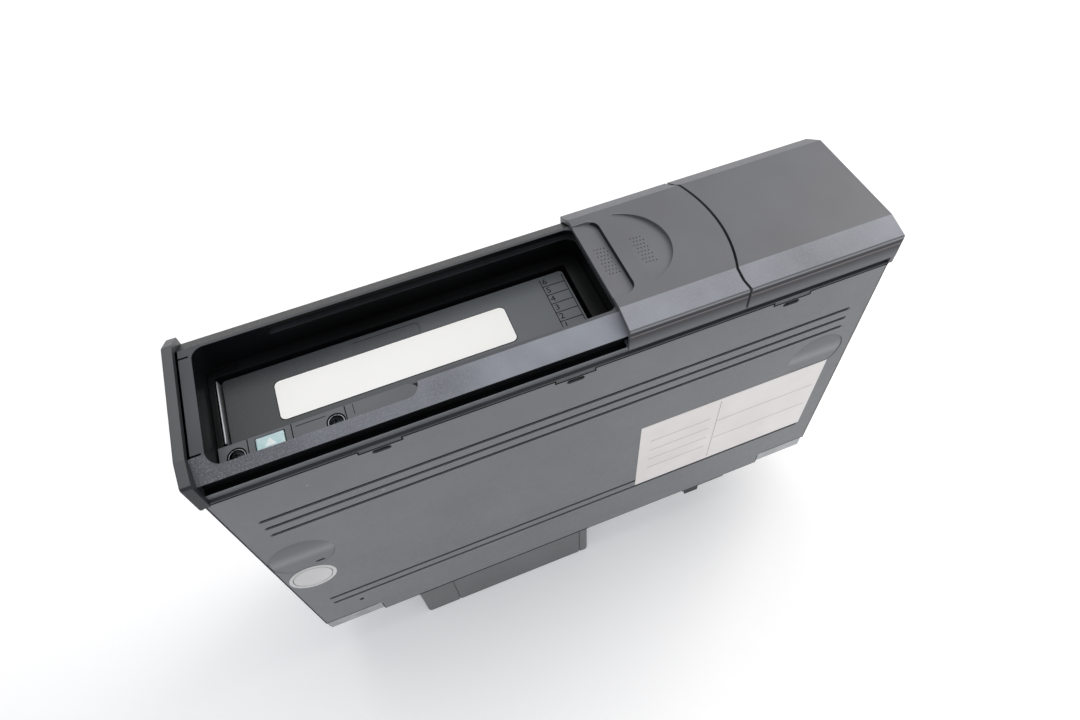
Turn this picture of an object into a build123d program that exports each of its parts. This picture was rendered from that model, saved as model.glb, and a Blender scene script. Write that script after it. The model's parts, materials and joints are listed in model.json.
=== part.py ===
"""Car changer for six discs: a flat steel case with a moulded front and a removable magazine.

X runs along the long front, Y through the thickness (the face with the rating label looks to -Y)
and Z from the rear connector up to the front.  The origin is under the middle of the case, on the
surface that the rear shroud stands on.  All sizes are in millimetres.
"""

from build123d import *
import math
import os

os.makedirs("parts", exist_ok=True)

# ---------------------------------------------------------------- driving dimensions
# Overall
bay_depth = 9.0  # the sheet metal case is so much higher than the magazine
right_room = 6.0  # from the reach of the sled to the right end
front_height = 16.0  # moulded front above the seam
shroud_drop = 29.0  # rear shroud below the rear plane
end_overhang = 1.2  # end cap and fixed cover beyond the steel at each end
cover_thickness = 59.6
front_thickness = 59.8  # door and fixed cover over their skirts
cap_thickness = 60.8
sheet = 0.8  # steel covers
chassis_sheet = 1.2
contact_gap = 0.3  # between a moving piece and what guides it
fine_gap = 0.15  # between pieces that drop into one another
label_sheet = 0.12

# Case covers
near_flange = 6.0  # how far the lower cover turns up the sides
bend_radius = 1.0
groove_width = 1.6
groove_depth = 0.35
groove_inset = 9.3  # from the sides of the steel
front_grooves = (20.75, 26.35, 31.85)  # below the seam
rear_grooves = (28.2, 33.9)  # above the rear plane
dish_radius = 12.0
dish_depth = 0.6  # at the top, fading out below
dish_insets = ((-1, 12.5, 55.2), (1, 16.9, 46.6))  # side, from the edge, below the seam
corner_notch_width = 25.8
corner_notch_height = 9.0
vent_slot = (17.1, 72.5)  # from the left edge, above the rear plane
gauge_hole = (19.9, 21.2)
side_hole_radius = 2.0
side_hole_spacing = 90.0
side_hole_y = 5.0

# Moulded front
track_drop = 2.3  # track below the top of the door
track_near_crease = -20.9
track_far_crease = 21.4
track_half = 28.4
runner_floor = 26.0  # half width at the bottom of the runner grooves
near_bevel_drop = 4.35
far_bevel_drop = 4.5
runner_bottom = 3.3  # above the seam
seam_flange = 0.8
flange_inset = 0.05  # flange of the core inside the faces of the covers
tab_places = (-66.5, 0.4, 82.5)
tab_width = 14.4
tab_drop = 1.5
tab_slot_width = 6.4
tab_slot_height = 2.0
tab_slot_drop = 3.0
cover_crease_near = -21.2
cover_crease_far = 22.2
near_cover_drop = 2.5
far_cover_drop = 4.9
cover_wall = 2.0
skirt_wall = 1.2
skirt_bottom = 3.4  # above the seam
lip_height = 1.5
cap_wall = 3.5
cap_lip = 1.1
cap_skirt = 1.3  # end cap below the seam

# Opening and sliding door
opening_land = 4.9  # between the end cap and the opening
opening_margin = 7.1  # right of the magazine
opening_near = -19.6
opening_far = 20.4
step_near = -24.5  # wider stretch at the left
step_length = 65.6
opening_radius = 4.0
door_overlap = 1.0  # of the open door over the opening's right edge
door_length = 42.9  # to the ends of the curved seam
seam_rise = 4.9
seam_bulge_y = 1.5
seam_end_y = 23.0
seam_gap = 1.0
door_travel = 138.5
notch_width = 8.7  # finger step at the door's left edge
notch_near = -16.6
notch_far = 18.7
moon_inset = 15.0  # from the door's left edge
moon_near = -15.0
moon_far = 18.5
moon_bulge = 13.7
notch_depth = (0.5, 1.7)  # at the left and the right end of each hollow
moon_depth = (0.4, 1.6)
rib_thickness = 1.5
rib_half = 15.0

# Telescoping leaves behind the door
leaf_sheet = 0.6
leaf_slot_height = 2.8
leaf_inset = 10.5  # first leaf behind the door's left edge
leaf_shift = 4.0  # second leaf behind the first
leaf_end_gap = 3.0
leaf_near = -22.0
leaf_far = 22.4
leaf_slot_drop = 4.5  # floor of the slot below the track
leaf_hook = 1.2
leaf_1_travel = 118.0

# Mouth
floor_height = 1.8  # pocket floor above the seam
mouth_plate = 2.5
magazine_gap_x = 1.2
magazine_gap_left = 2.0
magazine_gap_y = 0.8
ledge_sheet = 1.0
button_inset = 16.6  # from the opening's left end
button_y = -17.3
button_width = 9.0
button_depth = 6.0
button_stroke = 1.5
screw_insets = ((5.8, -18.0), (37.5, -17.8))
screw_head_radius = 2.6
screw_well_radius = 2.9
screw_radius = 1.3

# Magazine and trays
magazine_width = 124.0
magazine_thickness = 27.0
magazine_height = 127.0
magazine_inset = 4.0  # from the opening's left end
magazine_centre_y = 1.4
magazine_sunk = 2.0  # face below the pocket floor
magazine_wall = 2.0
magazine_side_wall = 1.2
slot_pitch = 4.25
tray_count = 6
tray_thickness = 2.6
tray_seat_radius = 60.4
tray_seat_depth = 1.4
tray_clearance = 3.5  # magazine wall and play at the closed end
window_radius = 22.0
guide_rib = 2.0
pad_inset = 56.6  # middle of the finger pad, right of the magazine's left end
pad_length = 24.0

# Bay
bay_sheet = 0.8
bay_gap = 0.5
bay_gap_left = 4.0
bay_floor = 1.2

# Disc drive
spindle_inset = 44.0  # right of the magazine
deck_y = -21.4
deck_sheet = 1.0
deck_gap_left = 1.1  # right of the magazine
deck_gap_right = 2.2  # inside the right wall
deck_rise = 11.0  # above the rear plane
deck_gap_front = 7.0  # below the seam
clamp_deck_y = 20.6
post_radius = 1.5
post_play = 0.05
lug_radius = 3.6
lug_length = 5.0
guide_rise = 6.0  # posts and screws run behind the trays, near the rear wall
lower_post_inset = 5.5  # from the decks' left edge
lift_screw_inset = 16.5
clamp_post_inset = 13.8  # from the decks' right edge
clamp_screw_inset = 24.8
lift_screw_radius = 2.0
gear_radius = 4.4
lift_motor_radius = 3.5
tongue_half = 3.0
tongue_shift = 12.6  # right of the spindle
damper_height = 1.5
platter_radius = 14.0
platter_y = -12.6
cone_radius = 7.3
cone_height = 1.2
motor_radius = 10.0
sled_shift = 24.6  # right of the spindle, at the inner end of its travel
sled_length = 12.0
sled_half = 22.0
sled_travel = 29.0
rod_radius = 1.25
rod_y = -16.6
rod_spread = 17.0
screw_z_offset = -27.0
clamper_y = 14.6
clamper_radius = 14.0

# ---------------------------------------------------------------- places worked out from them
case_height = magazine_height + bay_depth
z_rear = shroud_drop
z_seam = z_rear + case_height
z_top = z_seam + front_height
left_room = cap_wall + opening_land + magazine_inset
sled_reach = spindle_inset + sled_shift + sled_travel + sled_length / 2
width = left_room + magazine_width + sled_reach + right_room
x_end = width / 2
cover_width = width - 2 * end_overhang
x_side = cover_width / 2
x_inside = x_side - sheet
y_face = cover_thickness / 2
y_inside = y_face - sheet
flange_half = y_face - flange_inset
front_half = front_thickness / 2
skirt_inside = front_half - skirt_wall
z_track = z_top - track_drop
z_floor = z_seam + floor_height
z_runner = z_seam + runner_bottom
x_cap = -x_end + cap_wall
cover_inside = z_top - cover_wall

opening_left = x_cap + opening_land
magazine_left = opening_left + magazine_inset
magazine_right = magazine_left + magazine_width
opening_right = magazine_right + opening_margin
step_right = opening_left + step_length
button_x = opening_left + button_inset
screw_places = [(opening_left + inset, screw_y) for inset, screw_y in screw_insets]
door_left = opening_right - door_overlap
seam_x = door_left + door_length
seam_bulge = seam_x + seam_rise
moon_left = door_left + moon_inset
leaf_1_left = door_left + leaf_inset
leaf_2_left = leaf_1_left + leaf_shift
leaf_length = x_inside - leaf_end_gap - leaf_2_left
magazine_near = magazine_centre_y - magazine_thickness / 2
magazine_far = magazine_centre_y + magazine_thickness / 2
z_magazine_top = z_floor - magazine_sunk
z_magazine = z_magazine_top - magazine_height
tray_low = z_magazine + magazine_wall + contact_gap
tray_high = z_magazine_top - magazine_wall - contact_gap
disc_z = (tray_low + tray_high) / 2
tray_length = magazine_width - tray_clearance
tray_right = magazine_right - 0.5
tray_left = tray_right - tray_length
disc_x = magazine_left + magazine_width / 2
spindle_x = magazine_right + spindle_inset
deck_left = magazine_right + deck_gap_left
deck_right = x_inside - deck_gap_right
deck_low = z_rear + deck_rise
deck_high = z_seam - deck_gap_front
guide_z = z_rear + guide_rise
post_places = (deck_left + lower_post_inset, deck_right - clamp_post_inset)
lift_screw_x = deck_left + lift_screw_inset
clamp_screw_x = deck_right - clamp_screw_inset
tongue_x = (spindle_x + tongue_shift - tongue_half, spindle_x + tongue_shift + tongue_half)
sled_x = spindle_x + sled_shift
mouth_left = magazine_left - magazine_gap_left
mouth_right = magazine_right + magazine_gap_x
mouth_near = magazine_near - magazine_gap_y
mouth_far = magazine_far + magazine_gap_y
z_mouth_bottom = z_seam - mouth_plate

leaf_slot_floor = z_track - leaf_slot_drop
leaf_2_z = leaf_slot_floor + 0.2
leaf_1_z = leaf_slot_floor + leaf_slot_height - 0.2 - leaf_sheet
leaf_room = leaf_1_z - leaf_2_z - leaf_sheet
slot_near = leaf_near - contact_gap
slot_far = leaf_far + contact_gap
rib_left = seam_x - seam_gap - rib_thickness - 1.0
leaf_lip_x = rib_left - (door_travel - leaf_1_travel) - contact_gap - leaf_hook


# ---------------------------------------------------------------- shared helpers
def middle(span):
    return (span[0] + span[1]) / 2


def size(span):
    return span[1] - span[0]


def block(x, y, z, mode=Mode.ADD):
    """A block between two X, two Y and two Z places."""
    with Locations((middle(x), middle(y), middle(z))):
        Box(size(x), size(y), size(z), mode=mode)


def bar_y(x, z, radius, y, mode=Mode.ADD):
    """A round bar along Y."""
    with Locations(Location((x, middle(y), z), (90, 0, 0))):
        Cylinder(radius, size(y), mode=mode)


def bar_x(y, z, radius, x, mode=Mode.ADD):
    """A round bar along X."""
    with Locations(Location((middle(x), y, z), (0, 90, 0))):
        Cylinder(radius, size(x), mode=mode)


def bar_z(x, y, radius, z, mode=Mode.ADD):
    """A round bar along Z."""
    with Locations((x, y, middle(z))):
        Cylinder(radius, size(z), mode=mode)


def facing(y):
    """A plane at one Y, drawn in X and Z; a negative extrusion goes towards +Y."""
    return Plane(origin=(0, y, 0), x_dir=(1, 0, 0), z_dir=(0, -1, 0))


def save(piece, name):
    piece.part.label = name
    export_step(piece.part, f"parts/{name}.step")


# ---------------------------------------------------------------- sheet metal case
def cover_section(flange, rear, side):
    """U section of a cover seen from the front; side is -1 near and +1 far."""
    with BuildSketch(Plane.XY.offset(rear)) as section:
        with Locations((0, side * (y_face - flange / 2))):
            Rectangle(cover_width, flange)
        outer = section.vertices().group_by(Axis.Y)[0 if side < 0 else -1]
        fillet(outer, bend_radius)
        with Locations((0, side * (y_face - sheet - flange / 2))):
            Rectangle(cover_width - 2 * sheet, flange, mode=Mode.SUBTRACT)
    return section.sketch


with BuildPart() as lower_cover:
    extrude(cover_section(near_flange, z_rear, -1), amount=case_height)
    # pressed lines
    groove_heights = [z_seam - drop for drop in front_grooves] + [z_rear + rise for rise in rear_grooves]
    with BuildSketch(facing(-y_face)):
        for height in groove_heights:
            with Locations((0, height)):
                SlotOverall(cover_width - 2 * groove_inset, groove_width)
    extrude(amount=-groove_depth, mode=Mode.SUBTRACT)
    # finger dishes, deepest at the top
    dish_tilt = math.atan(dish_depth / 2 / dish_radius)
    for side, inset, drop in dish_insets:
        dish_floor = Plane(
            origin=(side * (x_side - inset), -y_face + dish_depth / 2, z_seam - drop),
            x_dir=(1, 0, 0),
            z_dir=(0, -math.cos(dish_tilt), math.sin(dish_tilt)),
        )
        with BuildSketch(dish_floor):
            Circle(dish_radius)
        extrude(amount=2 * dish_depth, mode=Mode.SUBTRACT)
    # notches and slots for the tabs of the moulded front
    for tab_x in tab_places:
        block(
            (tab_x - tab_width / 2 - fine_gap, tab_x + tab_width / 2 + fine_gap),
            (-y_face - 1, -y_inside + 0.5),
            (z_seam - tab_drop - fine_gap, z_seam + 1),
            Mode.SUBTRACT,
        )
    with BuildSketch(facing(-y_face)):
        for tab_x in tab_places:
            with Locations((tab_x, z_seam - tab_slot_drop)):
                SlotOverall(tab_slot_width, tab_slot_height)
        with Locations((-x_side + vent_slot[0], z_rear + vent_slot[1])):
            SlotOverall(3.5, 1.2)
        with Locations((-x_side + gauge_hole[0], z_rear + gauge_hole[1])):
            Circle(1.0)
    extrude(amount=-2 * sheet, mode=Mode.SUBTRACT)
    # rear corners cut back to show the chassis
    with BuildSketch(facing(-y_face)):
        for side in (-1, 1):
            with Locations((side * x_side, z_rear)):
                RectangleRounded(2 * corner_notch_width, 2 * corner_notch_height, 2.0)
    extrude(amount=-2 * sheet, mode=Mode.SUBTRACT)
save(lower_cover, "lower_cover")

side_hole_heights = [z_rear + case_height / 2 + side * side_hole_spacing / 2 for side in (-1, 1)]
upper_flange = cover_thickness - near_flange - 0.2

with BuildPart() as upper_cover:
    extrude(cover_section(upper_flange, z_rear, 1), amount=case_height)
    for height in side_hole_heights:
        for side in (-1, 1):
            bar_x(side_hole_y, height, side_hole_radius, sorted((side * x_side * 1.02, side * x_inside * 0.98)),
                  Mode.SUBTRACT)
save(upper_cover, "upper_cover")

board_y = -y_inside + 4.2  # main board, between the lower cover and the magazine bay
board_sheet = 1.6
board_face = board_y + board_sheet
shroud_x = (-x_end + 42.7, -x_end + 128.3)
connector_x = (shroud_x[0] + 8.3, shroud_x[1] - 11.3)
connector_y = (board_face, board_face + 9.0)

with BuildPart() as chassis_frame:
    # rear wall and the two side walls are one bent strip
    with BuildSketch(facing(-y_inside)):
        with Locations((0, z_rear + case_height / 2 - 0.5)):
            Rectangle(2 * x_inside, case_height - 1.0)
        with Locations((0, z_rear + chassis_sheet + case_height / 2)):
            Rectangle(2 * (x_inside - chassis_sheet), case_height, mode=Mode.SUBTRACT)
    extrude(amount=-2 * y_inside)
    # strips behind the notched corners of the lower cover
    for side in (-1, 1):
        block(
            sorted((side * (x_inside - 0.1), side * (x_side - corner_notch_width - 3))),
            (-y_inside, -y_inside + sheet),
            (z_rear, z_rear + corner_notch_height + 4),
        )
        # openings that lighten the side walls
        for height in side_hole_heights:
            bar_x(side_hole_y, height, side_hole_radius, sorted((side * x_side, side * (x_inside - 3))),
                  Mode.SUBTRACT)
    # connector opening
    block(
        (connector_x[0] - 0.5, connector_x[1] + 0.5),
        (connector_y[0] - 0.5, connector_y[1] + 0.5),
        (z_rear - 1, z_rear + 2),
        Mode.SUBTRACT,
    )
save(chassis_frame, "chassis_frame")


# ---------------------------------------------------------------- moulded front
def track_section(x):
    """Section of the moulded core, with the runner grooves along both sides."""
    with BuildSketch(Plane.YZ.offset(x)) as section:
        with BuildLine():
            Polyline(
                (-flange_half, z_seam),
                (-flange_half, z_seam + seam_flange),
                (-track_half, z_seam + seam_flange),
                (-track_half, z_runner),
                (-runner_floor, z_runner),
                (-runner_floor, z_track - near_bevel_drop),
                (-track_half, z_track - near_bevel_drop),
                (track_near_crease, z_track),
                (track_far_crease, z_track),
                (track_half, z_track - far_bevel_drop),
                (runner_floor, z_track - far_bevel_drop),
                (runner_floor, z_runner),
                (track_half, z_runner),
                (track_half, z_seam + seam_flange),
                (flange_half, z_seam + seam_flange),
                (flange_half, z_seam),
                close=True,
            )
        make_face()
    return section.sketch


def opening_outline(z, inset=0.0):
    """The opening: a long rectangle with a wider stretch at its near left corner."""
    with BuildSketch(Plane.XY.offset(z)) as outline:
        x = (opening_left + inset, opening_right - inset)
        y = (opening_near + inset, opening_far - inset)
        with Locations((middle(x), middle(y))):
            RectangleRounded(size(x), size(y), opening_radius - inset)
        step = (opening_left + inset, step_right - inset)
        step_y = (step_near + inset, middle(y))
        with Locations((middle(step), middle(step_y))):
            RectangleRounded(size(step), size(step_y), opening_radius - inset)
    return outline.sketch


with BuildPart() as front_bezel:
    extrude(track_section(x_cap), amount=x_inside - x_cap)
    extrude(opening_outline(z_seam), amount=z_track - z_seam, mode=Mode.SUBTRACT)
    # slots in which the leaves run, and the room above them for the door's rib
    block(
        (leaf_1_left - leaf_1_travel - 2, x_inside - 2),
        (slot_near, slot_far),
        (leaf_slot_floor, leaf_slot_floor + leaf_slot_height),
        Mode.SUBTRACT,
    )
    block((opening_right - 1, seam_bulge), (-rib_half - 1, rib_half + 1), (leaf_slot_floor, z_top), Mode.SUBTRACT)
    # hollow underside behind the opening
    block((opening_right + 6, x_inside - 3), (-22, 22), (z_seam - 1, leaf_slot_floor - 2), Mode.SUBTRACT)
    # slits in the land beside the end cap
    for slit_y in (-20.4, 17.8):
        block((x_cap - 1, opening_left - 1), (slit_y - 0.3, slit_y + 0.3), (z_track - 1.0, z_top), Mode.SUBTRACT)
    for tab_x in tab_places:
        block(
            (tab_x - tab_width / 2, tab_x + tab_width / 2),
            (-flange_half, -y_inside),
            (z_seam - tab_drop, z_seam + seam_flange),
        )
save(front_bezel, "front_bezel")


def cover_outline(x, grow=0.0):
    """Outer section of the door, the fixed cover and, with grow, the end cap."""
    half = front_half + grow
    with BuildSketch(Plane.YZ.offset(x)) as outline:
        with BuildLine():
            Polyline(
                (-half, z_seam + skirt_bottom),
                (-half, z_top - near_cover_drop),
                (cover_crease_near - grow, z_top),
                (cover_crease_far + grow, z_top),
                (half, z_top - far_cover_drop),
                (half, z_seam + skirt_bottom),
                close=True,
            )
        make_face()
        fillet(outline.vertices().filter_by(lambda v: v.Y > z_top - 6 or v.Z > z_top - 6), 0.8)
    return outline.sketch


def cover_hollow(x):
    """Room under the door and the fixed cover, with the lips that run in the core's grooves."""
    lip_top = z_seam + skirt_bottom + lip_height
    lip_inside = runner_floor + contact_gap
    near_slope = near_cover_drop / (front_half + cover_crease_near)
    far_slope = far_cover_drop / (front_half - cover_crease_far)
    near_inside = cover_inside - near_slope * (skirt_inside + cover_crease_near)
    far_inside = cover_inside - far_slope * (skirt_inside - cover_crease_far + 0.6)
    with BuildSketch(Plane.YZ.offset(x)) as hollow:
        with BuildLine():
            Polyline(
                (-lip_inside, z_seam),
                (-lip_inside, lip_top),
                (-skirt_inside, lip_top),
                (-skirt_inside, near_inside),
                (cover_crease_near, cover_inside),
                (cover_crease_far - 0.6, cover_inside),
                (skirt_inside, far_inside),
                (skirt_inside, lip_top),
                (lip_inside, lip_top),
                (lip_inside, z_seam),
                close=True,
            )
        make_face()
    return hollow.sketch


def seam_outline(z, x_from, shift):
    """Everything on one side of the curved seam between the door and the fixed cover."""
    edge = seam_x + shift
    far = front_half + 2
    with BuildSketch(Plane.XY.offset(z)) as outline:
        with BuildLine():
            Line((x_from, -far), (edge + 1.5, -far))
            Line((edge + 1.5, -far), (edge, -seam_end_y - 3))
            Line((edge, -seam_end_y - 3), (edge, -seam_end_y + seam_bulge_y))
            ThreePointArc(
                (edge, -seam_end_y + seam_bulge_y),
                (seam_bulge + shift, seam_bulge_y),
                (edge, seam_end_y + seam_bulge_y),
            )
            Line((edge, seam_end_y + seam_bulge_y), (edge, far))
            Line((edge, far), (x_from, far))
            Line((x_from, far), (x_from, -far))
        make_face()
    return outline.sketch


def falling_floor(left, length, depth):
    """Plane of a hollow's floor, at one depth at its left end and deeper at its right."""
    tilt = math.atan(size(depth) / length)
    return Plane(
        origin=(left, 0, z_top - depth[0]),
        x_dir=(math.cos(tilt), 0, -math.sin(tilt)),
        z_dir=(math.sin(tilt), 0, math.cos(tilt)),
    )


with BuildPart() as fixed_front_cover:
    extrude(cover_outline(seam_x - 2), amount=x_end - seam_x + 2)
    extrude(cover_hollow(seam_x - 3), amount=x_inside + 0.2 - seam_x + 3, mode=Mode.SUBTRACT)
    extrude(seam_outline(z_seam, seam_x - 10, seam_gap / 2), amount=front_height + 1, mode=Mode.SUBTRACT)
    # skirt of the end wall reaches the seam
    block((x_inside + 0.2, x_end), (-y_face, y_face), (z_seam + 0.2, z_seam + skirt_bottom))
save(fixed_front_cover, "fixed_front_cover")

with BuildPart() as sliding_door:
    extrude(cover_outline(door_left), amount=seam_bulge - door_left)
    extrude(cover_hollow(door_left - 1), amount=seam_bulge - door_left + 2, mode=Mode.SUBTRACT)
    extrude(seam_outline(z_seam, door_left - 2, -seam_gap / 2), amount=front_height + 1, mode=Mode.INTERSECT)
    # finger step, open to the left edge; its floor falls to the right
    with BuildSketch(falling_floor(door_left, notch_width, notch_depth)):
        with Locations((0, (notch_near + notch_far) / 2)):
            RectangleRounded(2 * notch_width, notch_far - notch_near, opening_radius)
    extrude(amount=2 * max(notch_depth), mode=Mode.SUBTRACT)
    # half moon beside it
    with BuildSketch(falling_floor(moon_left, moon_bulge, moon_depth)):
        with BuildLine():
            Line((0, moon_near), (0, moon_far))
            ThreePointArc((0, moon_far), (moon_bulge, (moon_near + moon_far) / 2 + 1.0), (0, moon_near))
        make_face()
    extrude(amount=2 * max(moon_depth), mode=Mode.SUBTRACT)
    # rib that pulls the first leaf
    block((rib_left, rib_left + rib_thickness), (-rib_half, rib_half),
          (leaf_1_z + leaf_sheet + 0.4, cover_inside + 0.5))
save(sliding_door, "sliding_door")

with BuildPart() as door_leaf_1:
    block(
        (leaf_1_left, leaf_1_left + leaf_length), (leaf_near, leaf_far), (leaf_1_z, leaf_1_z + leaf_sheet)
    )
    block(
        (leaf_lip_x, leaf_lip_x + leaf_hook),
        (-rib_half + 1, rib_half - 1),
        (leaf_1_z, cover_inside - 0.6),
    )
    block(
        (leaf_1_left + leaf_length - leaf_hook, leaf_1_left + leaf_length),
        (-18, 18),
        (leaf_1_z - leaf_room + 0.2, leaf_1_z),
    )
save(door_leaf_1, "door_leaf_1")

with BuildPart() as door_leaf_2:
    block(
        (leaf_2_left, leaf_2_left + leaf_length), (leaf_near, leaf_far), (leaf_2_z, leaf_2_z + leaf_sheet)
    )
    block(
        (leaf_2_left, leaf_2_left + leaf_hook), (-18, 18), (leaf_2_z, leaf_1_z - 0.2)
    )
save(door_leaf_2, "door_leaf_2")

with BuildPart() as end_cap:
    with BuildSketch(Plane.YZ.offset(-x_end)) as cap_outline:
        half = cap_thickness / 2
        with BuildLine():
            Polyline(
                (-half, z_seam - cap_skirt),
                (-half, z_top - near_cover_drop),
                (cover_crease_near - 0.5, z_top),
                (cover_crease_far + 0.5, z_top),
                (half, z_top - far_cover_drop),
                (half, z_seam - cap_skirt),
                close=True,
            )
        make_face()
        fillet(cap_outline.vertices(), 1.5)
    extrude(amount=cap_wall)
    # below the seam only the outer lip goes on over the steel covers
    block((-x_end + cap_lip, x_cap + 1), (-half - 1, half + 1), (z_seam - cap_skirt - 1, z_seam), Mode.SUBTRACT)
    fillet(end_cap.edges().filter_by(Plane.YZ).group_by(Axis.X)[0], 0.6)
save(end_cap, "end_cap")

# ---------------------------------------------------------------- mouth, ledge and eject button
with BuildPart() as mouth_frame:
    block((x_cap + 1, opening_right + 3.5), (-y_inside + 1, y_inside - 1), (z_mouth_bottom, z_seam))
    extrude(opening_outline(z_seam, fine_gap), amount=floor_height)
    with BuildSketch(Plane.XY.offset(z_floor)):
        with Locations(((mouth_left + mouth_right) / 2, (mouth_near + mouth_far) / 2)):
            RectangleRounded(mouth_right - mouth_left, mouth_far - mouth_near, 1.0)
        with Locations((button_x, button_y)):
            Rectangle(button_width + 2 * contact_gap, button_depth + 2 * contact_gap)
        with Locations(*screw_places):
            Circle(screw_radius)
    extrude(amount=-(floor_height + mouth_plate), mode=Mode.SUBTRACT)
    # shallow corner slot
    corner_x = (opening_left + 0.6, opening_left + 10.6)
    corner_y = (opening_far - 3.9, opening_far - 1.4)
    block(corner_x, corner_y, (z_floor - 0.6, z_floor + 1), Mode.SUBTRACT)
save(mouth_frame, "mouth_frame")

ledge_x = (opening_left + 0.4, step_right - 0.2)
ledge_y = (step_near + 0.4, mouth_near)

with BuildPart() as ledge_plate:
    with BuildSketch(Plane.XY.offset(z_floor)) as ledge_outline:
        with Locations((middle(ledge_x), middle(ledge_y))):
            Rectangle(size(ledge_x), size(ledge_y))
        left_end, right_end = ledge_outline.vertices().group_by(Axis.X)
        fillet([left_end.sort_by(Axis.Y)[0], *right_end], opening_radius)
        with Locations((button_x, button_y)):
            Rectangle(button_width + 2 * contact_gap, button_depth + 2 * contact_gap, mode=Mode.SUBTRACT)
        with Locations(*screw_places):
            Circle(screw_well_radius, mode=Mode.SUBTRACT)
    extrude(amount=ledge_sheet)
save(ledge_plate, "ledge_plate")

z_ledge = z_floor + ledge_sheet

with BuildPart() as ledge_screws:
    for screw_x, screw_y in screw_places:
        bar_z(screw_x, screw_y, screw_radius, (z_mouth_bottom - 1, z_floor))
        bar_z(screw_x, screw_y, screw_head_radius, (z_floor, z_ledge - 0.2))
save(ledge_screws, "ledge_screws")

with BuildPart() as eject_button:
    button_top = z_ledge + 0.5
    block(
        (button_x - button_width / 2, button_x + button_width / 2),
        (button_y - button_depth / 2, button_y + button_depth / 2),
        (z_mouth_bottom - 0.2, button_top),
    )
    fillet(eject_button.edges().group_by(Axis.Z)[-1], 0.5)
    # collar that stops the button under the mouth plate
    block(
        (button_x - button_width / 2 - 0.8, button_x + button_width / 2 + 0.8),
        (button_y - button_depth / 2, button_y + button_depth / 2 + 0.6),
        (z_mouth_bottom - 1.0, z_mouth_bottom - 0.2),
    )
save(eject_button, "eject_button")

# ---------------------------------------------------------------- boards
board_x = (magazine_left - 1.4, magazine_right - 5.4)
board_z = (z_rear + 7, z_mouth_bottom - 4)
switch_top = z_mouth_bottom - 1.0 - button_stroke - contact_gap

with BuildPart() as eject_switch:
    block((button_x - 3.5, button_x + 3.5), (board_face, -14.6), (switch_top - 10, switch_top - 1.5))
    bar_z(button_x, button_y, 1.4, (switch_top - 1.5, switch_top))
save(eject_switch, "eject_switch")

with BuildPart() as main_board:
    block(board_x, (board_y, board_face), board_z)
    board_posts = [(x, z) for x in (board_x[0] + 5, board_x[1] - 5) for z in (board_z[0] + 14, board_z[1] - 16)]
    for post_x, post_z in board_posts:
        bar_y(post_x, post_z, 3.0, (-y_inside, board_y))
save(main_board, "main_board")

with BuildPart() as board_chips:
    # right of the board's left edge, above its lower edge, size
    for right, up, chip_size in ((32, 79, 22), (70, 82, 16), (92, 48, 14), (36, 42, 14)):
        chip_x = board_x[0] + right
        chip_z = board_z[0] + up
        block((chip_x - chip_size / 2, chip_x + chip_size / 2), (board_face, board_face + 2.4),
              (chip_z - chip_size / 2, chip_z + chip_size / 2))
save(board_chips, "board_chips")

with BuildPart() as board_capacitors:
    for right, up, can_radius in ((12, 24, 4), (22, 24, 4), (106, 22, 4), (106, 34, 3)):
        bar_y(board_x[0] + right, board_z[0] + up, can_radius, (board_face, board_face + 8.5))
save(board_capacitors, "board_capacitors")

with BuildPart() as board_connectors:
    for right, plug_width in ((52, 24), (88, 14)):
        plug_x = (board_x[0] + right - plug_width / 2, board_x[0] + right + plug_width / 2)
        block(plug_x, (board_face, board_face + 6), (board_z[1] - 14.5, board_z[1] - 8.5))
save(board_connectors, "board_connectors")

# ---------------------------------------------------------------- magazine bay
bay_near = magazine_near - bay_gap - bay_sheet
bay_far = magazine_far + bay_gap + bay_sheet
bay_left = magazine_left - bay_gap_left
z_bay_floor = z_magazine - contact_gap - bay_floor
arm_half = 3.0
arm_x = (disc_x - 41.4, disc_x + 18.6)  # pad and hinge of the eject arm

bay_x = (bay_left, magazine_right + 0.6)
bay_z = (z_rear + chassis_sheet, z_mouth_bottom)

# four flat plates, open to the right where the trays come out
with BuildPart() as bay_near_plate:
    block(bay_x, (bay_near, bay_near + bay_sheet), bay_z)
save(bay_near_plate, "bay_near_plate")

with BuildPart() as bay_far_plate:
    block(bay_x, (bay_far - bay_sheet, bay_far), bay_z)
save(bay_far_plate, "bay_far_plate")

bay_inner_y = (bay_near + bay_sheet, bay_far - bay_sheet)

with BuildPart() as bay_end_plate:
    block((bay_left, bay_left + bay_sheet), bay_inner_y, bay_z)
save(bay_end_plate, "bay_end_plate")

with BuildPart() as bay_floor_plate:
    block((bay_left + bay_sheet, bay_x[1]), bay_inner_y, (z_bay_floor, z_bay_floor + bay_floor))
    # window for the eject arm
    block(
        (arm_x[0] - 4, arm_x[1] + 6),
        (magazine_centre_y - arm_half - 1.5, magazine_centre_y + arm_half + 1.5),
        (z_bay_floor - 1, z_bay_floor + bay_floor + 1),
        Mode.SUBTRACT,
    )
save(bay_floor_plate, "bay_floor_plate")

with BuildPart() as guide_spring:
    # bowed strip at the left of the bay
    strip_foot = bay_left + bay_sheet
    with BuildSketch(facing(-10.6)):
        with BuildLine():
            ThreePointArc((strip_foot, 100.0), (magazine_left - 0.9, 134.0), (mouth_left + 0.4, z_floor - 1.0))
            Line((mouth_left + 0.4, z_floor - 1.0), (mouth_left + 0.8, z_floor - 1.0))
            ThreePointArc((mouth_left + 0.8, z_floor - 1.0), (magazine_left - 0.4, 134.0), (strip_foot + 0.4, 100.0))
            Line((strip_foot + 0.4, 100.0), (strip_foot, 100.0))
        make_face()
    extrude(amount=-25.6)
save(guide_spring, "guide_spring")

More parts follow.
